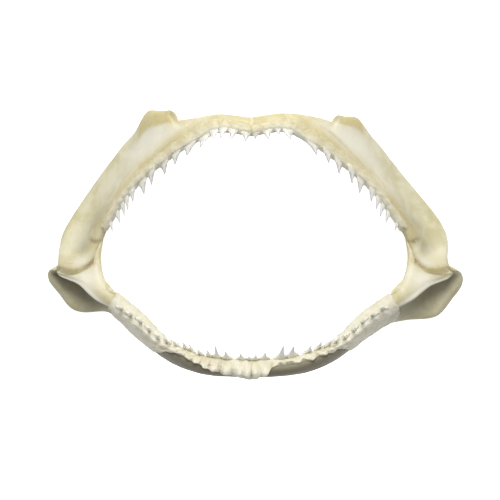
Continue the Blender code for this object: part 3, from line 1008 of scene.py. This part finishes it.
def upper_tints(side, share, across, amber, smudges):
    """Stain, white, shaded and dark areas of an upper cartilage: the shaded areas are painted shading, the
    corner of the bulb gets a painted highlight, and the crevice at the joint a painted shadow. Amber and
    smudges are there anyway.
    """
    horn_start = side["horn"][0]
    cap = side["horn_cap"]
    raised = ramp(horn(UPPER, side, share, across), 2.0, 5.0)
    top = raised * ramp(across, cap - 0.04, cap + 0.04)
    pale_end = 0.4 * ramp(share, 0.84, 0.95) * hump(across, 0.8, 0.3)
    # Painted highlight on the corner of the bulb at the joint.
    corner_painted_highlight = spot(share, across, (0.985, 0.25), (0.02, 0.25))
    pale_blade = 1.3 * spot(share, across, (0.42, 0.5), (0.2, 0.27)) * (1 - top)
    # Painted shading in the blade's hollow, in the hollow beside the joint, and at the foot of the horn's
    # flank, which faces the lamp.
    hollow_painted_shade = 0.35 * spot(share, across, (0.8, 0.3), (0.11, 0.28))
    joint_painted_shade = 0.35 * spot(share, across, (0.93, 0.35), (0.03, 0.2))
    horn_foot_painted_shade = 0.45 * hump(share, horn_start - 0.012, 0.016) * ramp(across, 0.75, 0.95)
    # Painted shadow in the crevice where the gum ends at the joint.
    slit_painted_shade = spot(share + 0.1 * across, across, (0.925, 0.1), (0.01, 0.14))
    white = pale_end + corner_painted_highlight + pale_blade
    return amber + top, white, hollow_painted_shade + joint_painted_shade + horn_foot_painted_shade, slit_painted_shade + smudges


def lower_tints(side, share, across, amber, brow):
    """Stain, white, shaded and dark areas of a lower cartilage, with painted shading in the ear's hollow
    and a painted highlight on its ridge. Brow is where the ear's ridge runs.
    """
    ear = ramp(share, 0.5, 0.58) * (1 - ramp(share, 0.88, 0.95))
    pale_neck = 1.4 * spot(share, across, (0.8, 0.2), (0.1, 0.25))
    # Painted highlight along the crest of the ear's ridge.
    ridge_painted_highlight = 1.2 * ear * hump(across, brow - 0.04, 0.05)
    # Painted shading in the ear's hollow: darkest just under the ridge, fading towards the rim.
    hollow = ramp(across, brow - 0.04, brow + 0.01) * (1 - 0.75 * ramp(across, brow + 0.2, 0.95))
    return amber, pale_neck + ridge_painted_highlight, side["ear_painted_shade"] * ear * hollow, np.zeros_like(across)


def cartilage_tints(jaw, side, share, angle):
    """Stains, pale and dark areas of a cartilage, with painted shading and painted highlights among them,
    at shares (a column) and angles.
    """
    seed = seed_of(jaw, side)
    across = how_far_across(angle)
    deep = across * axes(jaw, side, share[:, 0])[2][:, None]
    face = ramp(np.sin(angle), -0.3, 0.3)
    near_gum = 1.15 * hump(deep, 6.8, 5.5) * (1 - ramp(share, 0.82, 0.95))
    amber = 0.45 * hump(share, 1.0, 0.03) + 0.15 * ramp(across, 0.8, 1.0)
    if jaw is UPPER:
        streaky = 0.75 + 0.9 * rough(seed + 9, share * 5, deep * 0.35)
        near_gum = near_gum * streaky * (0.7 + 0.3 * ramp(share, 0.12, 0.3))
        smudges = 0.35 * near_gum * ramp(rough(seed + 8, share * 6, deep * 0.5), 0.1, 0.8)
        stain, white, shade, dark = upper_tints(side, share, across, amber + near_gum, smudges)
        shade = shade * face
    else:
        brow = smooth(jaw["shape"], share[:, 0])[:, 5:]
        stain, white, shade, dark = lower_tints(side, share, across, amber + 0.4 * near_gum, brow)
        # Painted shading over the outer side of the lower jaw's front band, which faces away from the lamp.
        front_band_painted_shade = (1 - ramp(share, 0.33, 0.45)) * ramp(np.sin(angle), -0.5, 0.0)
        shade = shade * face + front_band_painted_shade
    marks = {"stain": stain, "white": 0.7 * white, "shade": shade, "dark": dark * face}
    return {key: np.clip(value, 0, 1) for key, value in marks.items()}


def cartilage(jaw, side, settings):
    """One half-jaw cartilage with its muscle hollows, waves and stains, and its painted shading and
    highlights.
    """
    seed = seed_of(jaw, side)
    shares = cartilage_shares(jaw, side)
    row = all_round(CARTILAGE_AROUND)
    place = np.tile(row, (len(shares), 1))
    share = shares[:, None]
    angle = section_angle(jaw, shares, place)
    across = how_far_across(angle)
    labial = np.sin(angle) > 0
    ends = np.broadcast_to(ramp(share, 0.0, 0.03) * (1 - ramp(share, 0.95, 1.0)), place.shape)
    waves = 0.3 * rough(seed, share * 9, across * 3 + 20 * labial) * ends
    if jaw is LOWER:
        brow = smooth(jaw["shape"], shares)[:, 5:]
        ear = ramp(share, 0.58, 0.7) * (1 - ramp(share, 0.86, 0.94)) * labial
        lip = 1.2 * hump(across, 0.9, 0.06) + 0.8 * hump(across, brow - 0.03, 0.035)
        waves = waves + ear * (lip - 0.9 * hump(across, brow + 0.05, 0.04))
    rings = surface(jaw, side, shares, place, waves)
    rings[0, :, 0] = -(LIGAMENT_WIDTH / 2 - 0.2)
    tangent = axes(jaw, side, 1.0)[4][0]
    caps = []
    for turn in np.linspace(0, math.pi / 2, CAP_STEPS + 1)[1:]:
        cap = surface(jaw, side, 1.0, row, -ROUNDED_END * (1 - math.cos(turn)))[0]
        caps.append(cap + settings.joint * math.sin(turn) * tangent)
    marks = cartilage_tints(jaw, side, share, angle)
    marks["relief"] = ends * ramp(placed(rings, side)[..., 2], 0.4 * MM, 2.0 * MM)
    rings = np.concatenate([rings, np.array(caps)])
    marks = {key: np.concatenate([v, np.repeat(v[-1:], len(caps), axis=0)]) for key, v in marks.items()}
    name = part_name("cartilage", jaw, side)
    obj = tube(name, placed(rings, side), marks)
    finish = found_finish(settings, "dried_cartilage")
    use_group(
        obj,
        "Surface Relief",
        Amount=settings.relief * MM,
        Cell=CARTILAGE_CELL * MM,
        Seed=float(seed),
        Material=finish,
    )
    return ship(obj, finish, name)


# Gums


def nearest_tooth(teeth, shares):
    """How near each share is to a tooth: 0 at one, 0.5 halfway to the next."""
    roots = np.array([tooth[0] for tooth in teeth])
    gaps = np.interp(shares, roots[:-1], np.diff(roots))
    return np.abs(roots[None, :] - shares[:, None]).min(axis=1) / gaps


def gum_edges(jaw, side, share, near, front):
    """Places of a gum's lingual and labial edges. The labial one is ragged."""
    seed = seed_of(jaw, side)
    low, high = smooth(jaw["gum"], share[:, 0]).T[:, :, None]
    high = high + smooth(side["gum_shift"][jaw["name"]], share[:, 0])
    low = low + 0.4 * rough(seed + 1, share * 30)
    ragged = 0.3 + 0.8 * rough(seed + 11, share * 16)
    high = high + front * (ragged * hump(near, 0.0, 0.35) + 0.6 * rough(seed + 12, share * 22) - 0.3)
    high = high + jaw["gum_fringe"] * rough(seed + 2, share * 40) + 0.25 * hump(near, 0.0, 0.3)
    return low, high


def gum_body(jaw, side, place, near, front, folds, thickness):
    """Thickness of a gum in mm, its lumps over the roots, and the share at which it ends."""
    seed = seed_of(jaw, side)
    if jaw is UPPER:
        labial = ramp(place, -1.5, 0.3)
        lump = hump(near, 0.0, 0.4) * hump(place, 0.1, 0.9)
        body = thickness * (1 - 0.72 * labial) + 0.7 * lump + 0.2 * folds * (1 - 0.4 * labial)
        end = jaw["gum_end"] - 0.012 + 0.01 * rough(seed + 7, place)
        return body, lump, end
    lump = hump(near, 0.0, 0.36) * hump(place, 0.9, 1.0)
    body = thickness * (1 - 0.45 * ramp(place, -0.5, 2.0))
    body = body + (0.5 + 1.7 * front) * lump + (0.5 + 0.4 * front) * folds
    body = body + 0.6 * (1 - front) * hump(place, 0.9, 0.8)
    end = LOWER_GUM_END - 0.014 * np.maximum(place, 0.0) + 0.01 * rough(seed + 7, place * 1.5)
    return body, lump, end


def gum(jaw, side, settings):
    """The strip of dried gum over a margin, swollen over each root and ragged at its edges."""
    seed = seed_of(jaw, side)
    upper = jaw is UPPER
    shares = np.linspace(0.0, jaw["gum_end"], GUM_SECTIONS)
    share = shares[:, None]
    steps = np.linspace(0, 1, GUM_STEPS)[None, :]
    near = nearest_tooth(side["teeth"][jaw["name"]], shares)[:, None]
    front = (1 - ramp(share, 0.28, 0.38)) * (not upper)
    low, high = gum_edges(jaw, side, share, near, front)
    place = low + (high - low) * steps
    folds = 0.6 * rough(seed + 3, share * 24, place * 0.9)
    folds = folds + 0.4 * rough(seed + 6, share * 70, place * 1.6)
    body, lump, end = gum_body(jaw, side, place, near, front, folds, settings.gum)
    close = 1 - ramp(share, end - jaw["gum_taper"], end)
    held = ramp(np.minimum(steps, 1 - steps), 0.0, jaw["gum_edge"]) * close
    buried = GUM_BURIED * (1 - close)
    thick = body * held - GUM_TUCK * (1 - held) - buried
    outer = surface(jaw, side, shares, place, thick)
    outer[..., 2] += crest(jaw, share, place) * held
    outer[..., :2] += overhang(jaw, side, shares, place) * held[..., None]
    inner = surface(jaw, side, shares, place, -GUM_UNDERSIDE - buried)
    blot = rough(seed + 4, share * 14, place * 0.7)
    if upper:
        stain = ramp(place, -0.5, 0.7) * (0.8 + 0.5 * blot)
        # White on the blunt margin and its lingual side is partly the whitish tissue round the roots and
        # partly painted light, as these face away from the lamp.
        white = 1 - ramp(place, -0.9, 0.1) + 0.4 * lump
    else:
        stain = 0.1 + 0.5 * blot - 0.6 * lump
        # The lumps over the roots are whitish; the outer side of the back band, which faces away from the
        # lamp, is lightened with painted light.
        white = lump + 0.3 * hump(held, 0.5, 0.35) + 0.6 * (1 - front) * ramp(place, 1.5, 4.0)
    # Painted shadow behind the front lower teeth and in the crevices between the lumps over their roots.
    behind = 1.6 * hump(place, -2.2, 0.6) * (1 - ramp(share, 0.2, 0.3)) * (not upper)
    crevice = 0.9 * front * ramp(near, 0.28, 0.46) * hump(place, 0.4, 1.2)
    # The folds are lightened on their crests and darkened in their troughs: painted highlight and painted
    # shading.
    marks = {
        "stain": np.clip(stain, 0, 1),
        "white": np.clip(white + 0.4 * folds, 0, 1),
        "dark": np.clip(-0.8 * folds - 0.2 + behind + crevice, 0, 1) * held,
        "relief": held,
    }
    rings = np.concatenate([outer, inner[:, ::-1]], axis=1)
    rings[0, :, 0] = 0.0
    both = {key: np.concatenate([v, v[:, ::-1]], axis=1) for key, v in marks.items()}
    obj = tube(part_name("gum", jaw, side), placed(rings, side), both)
    finish = found_finish(settings, "dried_gum")
    use_group(
        obj,
        "Surface Relief",
        Amount=GUM_RELIEF * MM,
        Cell=GUM_CELL * MM,
        Seed=float(seed) + 50.0,
        Material=finish,
    )
    return ship(obj, finish, part_name("gum_and_teeth", jaw, side))


# Teeth

# Outline of a tooth: (rise as a share of its height, width and thickness against those of its foot).
UPPER_TOOTH = (
    (-0.28, 0.50, 0.30),
    (-0.16, 0.96, 0.80),
    (-0.02, 1.04, 0.95),
    (0.07, 1.00, 0.88),
    (0.14, 0.88, 0.80),
    (0.22, 0.74, 0.72),
    (0.34, 0.60, 0.62),
    (0.50, 0.48, 0.50),
    (0.66, 0.34, 0.38),
    (0.82, 0.20, 0.24),
    (0.93, 0.10, 0.14),
    (1.00, 0.01, 0.02),
)
LOWER_TOOTH = (
    (-0.28, 0.50, 0.30),
    (-0.16, 0.94, 0.80),
    (-0.02, 1.00, 0.95),
    (0.08, 0.94, 0.88),
    (0.16, 0.70, 0.80),
    (0.25, 0.48, 0.70),
    (0.36, 0.36, 0.60),
    (0.60, 0.26, 0.46),
    (0.80, 0.17, 0.30),
    (0.93, 0.09, 0.14),
    (1.00, 0.01, 0.02),
)


def tooth(name, keys, rows, around):
    """A tooth of unit width and height: two-lobed root, sharp flat crown with fine serrations."""
    rise = np.linspace(keys[0][0], keys[-1][0], rows)
    angle = 2 * np.pi * np.arange(around) / around
    wide, thick = smooth(keys, rise).T[:, :, None]
    rise = rise[:, None]
    sharp = ramp(rise, 0.0, 0.25)
    across = np.cos(angle)[None, :]
    saw = 0.018 * sharp * (1 - ramp(rise, 0.8, 0.95)) * (2 * ((rise * SERRATIONS) % 1.0) - 1)
    through = np.sin(angle) * np.abs(np.sin(angle)) ** sharp
    through = np.where(through > 0, through * 1.25, through * 0.75)
    lobes = 0.16 * (1 - ramp(rise, -0.28, 0.0)) * hump(across, 0.0, 0.45)
    x = 0.5 * across * (wide + saw * np.abs(across) ** 8) + 0.06 * np.maximum(rise, 0.0) ** 2
    rings = np.stack([x, 0.5 * through * thick, rise + lobes], axis=-1)
    edge = np.clip(sharp * across**2 * 0.9 + ramp(rise, 0.7, 1.0) * 0.4, 0, 1)
    obj = tube(name, rings, {"rise": np.broadcast_to(rise, edge.shape), "edge": edge})
    bpy.context.scene.collection.objects.unlink(obj)
    return obj


def tooth_model(jaw, fine):
    """The tooth that a row repeats, made the first time that it is asked for."""
    name = f"pattern_{jaw['name']}_{'fine' if fine else 'plain'}"
    if name in bpy.data.objects:
        return bpy.data.objects[name]
    keys = UPPER_TOOTH if jaw is UPPER else LOWER_TOOTH
    return tooth(name, keys, *(FINE_TOOTH if fine else PLAIN_TOOTH))


def stand(jaw, side, shares, place, lift):
    """Points on the jaw, the directions away from it and those round to the lingual side."""
    shares = np.atleast_1d(shares)
    place = np.broadcast_to(place, (len(shares),))[:, None]
    lift = np.broadcast_to(lift, (len(shares),))[:, None]
    at = surface(jaw, side, shares, place, lift)[:, 0]
    away = surface(jaw, side, shares, place, lift + 1.0)[:, 0] - at
    return at, away, unit(surface(jaw, side, shares, place - 0.2, lift)[:, 0] - at)


def tooth_sizes(jaw, side):
    """Shares, widths, heights and sideways leans of the standing teeth of a half jaw."""
    shares, heights, leans = np.array(side["teeth"][jaw["name"]]).T
    gaps = np.linalg.norm(np.diff(rails(jaw, side, shares)[0], axis=0), axis=1)
    gaps = np.concatenate([gaps[:1], gaps, gaps[-1:]])
    width = np.minimum(TOOTH_SPAN * 0.5 * (gaps[:-1] + gaps[1:]), STOUTEST_TOOTH * heights)
    return shares, width, heights, leans


def row_object(name, jaw, side, rows, fine, dull, settings, **sway):
    """Teeth with these feet, and wide, through and crown vectors, all in mm on the left half."""
    foot = rows[0]
    base = placed(foot, side)
    marks = {"dull": dull + np.zeros(len(base))}
    for key, vector in zip(("wide", "through", "crown"), rows[1:]):
        marks[key] = placed(foot + vector, side) - base
    points = mesh_object(part_name(name, jaw, side), base, [], marks)
    finish = found_finish(settings, "enamelled_tooth")
    seed = seed_of(jaw, side)
    use_group(points, "Tooth Row", Tooth=tooth_model(jaw, fine), Seed=seed, Material=finish, **sway)
    return ship(points, finish, part_name("gum_and_teeth", jaw, side))


def functional_teeth(jaw, side, settings):
    """The row of standing teeth along a margin. Their tips reach those of the solids or just past."""
    upper = jaw is UPPER
    shares, width, height, lean = tooth_sizes(jaw, side)
    at = shares / jaw["gum_end"]
    angle = smooth(jaw["tooth_angle"], at)[:, 0]
    tip = stand(jaw, side, shares, place_of(angle), TIP_STAND)[0]
    tip += height[:, None] * unit(smooth(jaw["crown"], at))
    tip[:, 0] += lean
    place = place_of(angle + smooth(jaw["tooth_forward"], at)[:, 0])
    raised = -0.1 if upper else 1 - ramp(shares, 0.25, 0.35)
    foot, away, _ = stand(jaw, side, shares, place, settings.seat + raised)
    foot[:, 0] += FOOT_LEAN * lean
    foot[:, :2] += overhang(jaw, side, shares, place)
    crown = jaw["crown_reach"] * (tip - foot)
    foot[:, 2] += crest(jaw, shares, place)
    tangent = axes(jaw, side, shares)[4]
    wide = unit(tangent - away * (tangent * away).sum(axis=1, keepdims=True))
    through = np.cross(crown, wide)
    facing = through @ np.array([0.0, 1.0 if upper else -1.0, 1.0])
    through = unit(through) * TOOTH_DEPTH * width[:, None] * np.where(facing < 0, 1, -1)[:, None]
    rows = (foot, wide * width[:, None], through, crown)
    # Front lower crowns get a negative value, which lightens them with painted light as they face away from
    # the lamp; back lower crowns are greyed a little.
    dull = 0.0 if upper else 0.8 * ramp(shares, 0.3, 0.4) - 0.7
    return row_object("teeth", jaw, side, rows, True, dull, settings)


def replacement_teeth(jaw, side, settings):
    """Rows of spare teeth that lie back on the lingual face behind the standing ones."""
    shares, width, height, _ = tooth_sizes(jaw, side)
    width, height = width[:, None], height[:, None]
    tangent = axes(jaw, side, shares)[4]
    rows = [[], [], [], []]
    for k, place in enumerate(SPARE_ROWS):
        foot, away, round_way = stand(jaw, side, shares, place, 0.3 - 0.1 * k)
        crown = unit(round_way + (0.14 - 0.04 * k) * away)
        through = unit(np.cross(crown, tangent)) * SPARE_DEPTH * width
        crown = crown * height * (0.72 - 0.08 * k)
        for row, values in zip(rows, (foot, tangent * width * SPARE_WIDTH, through, crown)):
            row.append(values)
    rows = [np.concatenate(row) for row in rows]
    return row_object("replacement_teeth", jaw, side, rows, False, 0.0, settings, Sway=SPARE_SWAY)


# Ligaments


def midline_pad(jaw, settings):
    """The pad that joins a pair of halves."""
    place = all_round(PAD_AROUND)
    ring = surface(jaw, LEFT, 0.0, place)[0]
    middle = ring.mean(axis=0)
    rings = []
    for turn in np.linspace(-1, 1, PAD_SECTIONS):
        bulge = 1.0 + 0.03 * math.cos(turn * math.pi / 2) - 0.10 * abs(turn) ** 3
        moved = middle + (ring - middle) * bulge
        moved[:, 0] = turn * (LIGAMENT_WIDTH / 2 + 0.4)
        moved += 0.12 * rough(PAD_SEED, turn * 2, place)[:, None]
        rings.append(moved)
    name = f"ligament_{jaw['name']}_midline"
    stain = np.full((len(rings), len(place)), 0.6)
    obj = tube(name, placed(np.array(rings), LEFT), {"stain": stain, "dark": np.zeros_like(stain)})
    return ship(obj, found_finish(settings, "dried_ligament"), name)


def sheet_over_joint(side, stops, place, sink):
    """Rings over a joint through stops, each (jaw, share, lift). Between the jaws they sink by sink.

    Gives where each ring lies on the way, the rings, and where the seam of the jaws is.
    """
    rings = [surface(jaw, side, share, place, lift)[0] for jaw, share, lift in stops]
    half = len(stops) // 2
    inner_lift = stops[half - 1][2] - sink
    ends = [surface(jaw, side, 1.0, place, inner_lift)[0] for jaw in (UPPER, LOWER)]
    rings.insert(half, 0.5 * (ends[0] + ends[1]))
    rings = np.array(rings)
    steps = np.linalg.norm(np.diff(rings, axis=0), axis=2).mean(axis=1)
    steps = np.concatenate([[0.0], np.cumsum(steps)])
    steps = steps / steps[-1]
    keys = np.column_stack([steps, rings.reshape(len(rings), -1)])
    t = np.linspace(0, 1, CAPSULE_SECTIONS)
    return t[:, None], smooth(keys, t).reshape(len(t), len(place), 3), steps[half]


def corner_strap(side, settings):
    """The web of tissue that bridges the corner of the mouth. Its ends sink into the cartilages."""
    turn = np.linspace(0, 2 * np.pi, STRAP_AROUND, endpoint=False)
    t = np.linspace(0, 1, STRAP_SECTIONS)
    middle, half = np.split(smooth(STRAP, t), [3], axis=1)
    way = np.gradient(middle, axis=0)
    way[:, 2] = 0.0
    way = unit(way)
    across = np.stack([way[:, 1], -way[:, 0], np.zeros_like(t)], axis=-1)
    size = (0.25 + 0.75 * np.sqrt(np.maximum(1 - (2 * t - 1) ** 6, 0.0)))[:, None, None]
    folds = rough(STRAP_SEED, t[:, None] * 9, turn[None, :] * 2)
    section = (half * np.cos(turn))[..., None] * across[:, None]
    thick = settings.strap * (1 - 0.6 * ramp(t, 0.65, 0.85))[:, None, None]
    section = section + thick * np.sin(turn)[None, :, None] * np.array([0.0, 0.0, 1.0])
    rings = middle[:, None] + section * size * (1 + 0.06 * folds[..., None])
    # One edge of the web is darkened with painted shading.
    inner_edge_painted_shade = np.broadcast_to(ramp(np.cos(turn), 0.7, 1.0), folds.shape)
    marks = {"stain": np.clip(0.5 + 0.5 * folds, 0, 1), "dark": 0.3 * inner_edge_painted_shade}
    name = f"ligament_corner_{side['name']}"
    obj = tube(name, placed(rings, side), marks)
    return ship(obj, found_finish(settings, "dried_ligament"), name)


def joint_capsule(side, settings):
    """The sleeve of dried tissue that closes the joint of an upper and a lower cartilage."""
    place = all_round(CARTILAGE_AROUND)
    groove = hump(place, 1.2, 1.6)
    t, rings, seam = sheet_over_joint(side, CAPSULE_STOPS, place, -0.7 + 1.7 * groove)
    folds = rough(CAPSULE_SEED, t * 5, place[None, :] * 0.8)
    share = 1.0 - 0.1 * np.where(t < seam, (seam - t) / seam, (t - seam) / (1 - seam))
    upper, lower = (
        cartilage_tints(jaw, side, share, section_angle(jaw, share[:, 0], np.tile(place, (len(t), 1))))
        for jaw in (UPPER, LOWER)
    )
    marks = {key: np.where(t < seam, upper[key], lower[key]) for key in upper}
    amber = 0.35 * hump(t, seam + 0.1, 0.18) * (0.8 + 0.5 * folds)
    # Painted shadow along the seam of the two jaws, deepest in its groove.
    slit_painted_shade = hump(t, seam, 0.05) * (1.2 * groove + 0.1 + 0.2 * folds)
    marks["stain"] = np.clip(marks["stain"] + amber, 0, 1)
    marks["dark"] = np.clip(marks["dark"] + slit_painted_shade, 0, 1)
    obj = tube(f"joint_capsule_{side['name']}", placed(rings, side), marks)
    finish = found_finish(settings, "dried_cartilage")
    return ship(obj, finish, f"ligament_corner_{side['name']}")


# Add-on


def colour_property(name, description, default):
    return bpy.props.FloatVectorProperty(
        name=name, description=description, subtype="COLOR", size=3, min=0.0, max=1.0, default=default
    )


def number_property(name, description, default, least=0.0, kind="NONE"):
    return bpy.props.FloatProperty(
        name=name, description=description, default=default, min=least, unit=kind
    )


class SharkJawSettings(bpy.types.PropertyGroup):
    """Sizes and colours of the jaws."""

    relief: number_property("Relief", "Height of the cartilage's small bumps, in mm", 0.22)
    gum: number_property("Gum", "Thickness of the gum along its middle, in mm", 1.3, 0.2)
    seat: number_property("Seat", "How far the teeth's feet stand off the cartilage, in mm", 1.1)
    strap: number_property("Strap", "Half thickness of the web at the mouth's corner, in mm", 1.9, 0.1)
    joint: number_property("Joint", "How far the cartilages' ends reach into the joint, in mm", 0.4)
    key_light: number_property("Key Light", "Strength of the main light", 15.5, kind="POWER")
    fill_light: number_property("Fill Light", "Strength of the light from all round", 0.42)
    floor_glow: number_property("Floor Glow", "Light from the floor itself, as of a light table", 0.8)
    cartilage: colour_property("Cartilage", "Cartilage", (0.54, 0.49, 0.275))
    cartilage_pale: colour_property("Pale Cartilage", "Cartilage in its pale clouds", (0.68, 0.64, 0.45))
    stain: colour_property("Stain", "Amber stain near the gum and the joints", (0.56, 0.465, 0.20))
    # Painted shading: this colour darkens the lower jaw's front band, the ears' hollows and hollows of the
    # upper blades.
    shade: colour_property("Shade", "Greenish shade of thin cartilage", (0.20, 0.18, 0.12))
    # White is the whitish colour of roots, lumps and rims; it is also laid on as painted highlights on the
    # cartilages and as painted light on gum that faces away from the lamp.
    white: colour_property("White", "Whitish roots and rims", (0.80, 0.77, 0.64))
    # Crevice colours real smudges and speckles, and also paints shading into crevices, folds and the gaps
    # between lumps.
    crevice: colour_property("Crevice", "Brown of creases", (0.30, 0.22, 0.12))
    gum_colour: colour_property("Gum", "Gum", (0.64, 0.60, 0.44))
    gum_pale: colour_property("Pale Gum", "Gum in its pale blotches", (0.72, 0.69, 0.55))
    enamel: colour_property("Enamel", "Crown of a tooth", (0.72, 0.70, 0.68))
    # Painted light: the colour that lightens the front lower crowns, which face away from the lamp.
    painted_light_crown: colour_property("Bleached", "Palest crowns", (0.95, 0.94, 0.92))
    lilac: colour_property("Lilac", "Thin greyish edges of a tooth", (0.36, 0.33, 0.34))
    floor: colour_property("Floor", "Floor", (0.92, 0.92, 0.92))


class SHARKJAW_OT_cartilages(bpy.types.Operator):
    """Builds the four cartilages"""

    bl_idname = "sharkjaw.cartilages"
    bl_label = "Cartilages"

    def execute(self, context):
        for jaw, side in HALVES:
            cartilage(jaw, side, context.scene.shark_jaw)
        return {"FINISHED"}


class SHARKJAW_OT_gums(bpy.types.Operator):
    """Builds the four strips of dried gum"""

    bl_idname = "sharkjaw.gums"
    bl_label = "Gums"

    def execute(self, context):
        for jaw, side in HALVES:
            gum(jaw, side, context.scene.shark_jaw)
        return {"FINISHED"}


class SHARKJAW_OT_teeth(bpy.types.Operator):
    """Builds the rows of standing teeth"""

    bl_idname = "sharkjaw.teeth"
    bl_label = "Teeth"

    def execute(self, context):
        for jaw, side in HALVES:
            functional_teeth(jaw, side, context.scene.shark_jaw)
        return {"FINISHED"}


class SHARKJAW_OT_replacement_teeth(bpy.types.Operator):
    """Builds the rows of spare teeth behind the standing ones"""

    bl_idname = "sharkjaw.replacement_teeth"
    bl_label = "Replacement Teeth"

    def execute(self, context):
        for jaw, side in HALVES:
            replacement_teeth(jaw, side, context.scene.shark_jaw)
        return {"FINISHED"}


class SHARKJAW_OT_ligaments(bpy.types.Operator):
    """Builds the ligaments on the midline and at the corners of the mouth"""

    bl_idname = "sharkjaw.ligaments"
    bl_label = "Ligaments"

    def execute(self, context):
        settings = context.scene.shark_jaw
        for jaw in (UPPER, LOWER):
            midline_pad(jaw, settings)
        for side in (LEFT, RIGHT):
            corner_strap(side, settings)
            joint_capsule(side, settings)
        return {"FINISHED"}


def area_light(name, place, target, size, power):
    """A round light at place that shines at target."""
    data = bpy.data.lights.new(name, "AREA")
    data.shape = "DISK"
    data.size = size
    data.energy = power
    obj = bpy.data.objects.new(name, data)
    obj.location = place
    obj.rotation_euler = (Vector(target) - Vector(place)).to_track_quat("-Z", "Y").to_euler()
    bpy.context.scene.collection.objects.link(obj)


def surroundings(strength):
    """Even white light from all round."""
    world = bpy.data.worlds.new("surroundings")
    world.use_nodes = True
    backdrop = world.node_tree.nodes["Background"]
    backdrop.inputs["Color"].default_value = (*PURE_WHITE, 1.0)
    backdrop.inputs["Strength"].default_value = strength
    return world


def camera_above():
    """The camera, which looks straight down."""
    data = bpy.data.cameras.new("camera")
    data.lens = CAMERA_LENS
    data.sensor_width = SENSOR_WIDTH
    data.clip_start = NEAREST_SEEN
    camera = bpy.data.objects.new("camera", data)
    camera.location = CAMERA_PLACE
    bpy.context.scene.collection.objects.link(camera)
    return camera


class SHARKJAW_OT_stage(bpy.types.Operator):
    """Adds the floor, the lights and the camera"""

    bl_idname = "sharkjaw.stage"
    bl_label = "Stage"

    def execute(self, context):
        settings = context.scene.shark_jaw
        scene = context.scene
        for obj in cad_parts.values():
            obj.hide_render = True
        reach = FLOOR_SIDE / 2
        corners = [(x * reach, y * reach, 0.0) for x, y in ((-1, -1), (1, -1), (1, 1), (-1, 1))]
        floor = mesh_object("floor", corners, [(0, 1, 2, 3)])
        floor.data.materials.append(found_finish(settings, "pale_floor"))
        floor.visible_diffuse = False
        floor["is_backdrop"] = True
        area_light("key", KEY_PLACE, KEY_TARGET, KEY_SIZE, settings.key_light)
        scene.world = surroundings(settings.fill_light)
        scene.view_settings.view_transform = "Standard"
        scene.camera = camera_above()
        return {"FINISHED"}


class SHARKJAW_PT_panel(bpy.types.Panel):
    """Sizes, colours and pieces of the jaws"""

    bl_idname = "SHARKJAW_PT_panel"
    bl_label = "Shark Jaw"
    bl_space_type = "VIEW_3D"
    bl_region_type = "UI"
    bl_category = "Shark Jaw"

    def draw(self, context):
        for key in SharkJawSettings.__annotations__:
            self.layout.prop(context.scene.shark_jaw, key)
        for operator in OPERATORS:
            self.layout.operator(operator.bl_idname)


OPERATORS = (
    SHARKJAW_OT_cartilages,
    SHARKJAW_OT_gums,
    SHARKJAW_OT_teeth,
    SHARKJAW_OT_replacement_teeth,
    SHARKJAW_OT_ligaments,
    SHARKJAW_OT_stage,
)
CLASSES = (SharkJawSettings, *OPERATORS, SHARKJAW_PT_panel)


def register():
    for cls in CLASSES:
        bpy.utils.register_class(cls)
    bpy.types.Scene.shark_jaw = bpy.props.PointerProperty(type=SharkJawSettings)


def unregister():
    del bpy.types.Scene.shark_jaw
    for cls in reversed(CLASSES):
        bpy.utils.unregister_class(cls)


def main():
    register()
    bpy.ops.sharkjaw.cartilages()
    bpy.ops.sharkjaw.gums()
    bpy.ops.sharkjaw.teeth()
    bpy.ops.sharkjaw.replacement_teeth()
    bpy.ops.sharkjaw.ligaments()
    bpy.ops.sharkjaw.stage()
    sizes = {"cad": CAD_BOUNDS, "visual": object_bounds()}
    sizes = {key: [list(map(float, corner)) for corner in value] for key, value in sizes.items()}


if __name__ == "__main__":
    main()
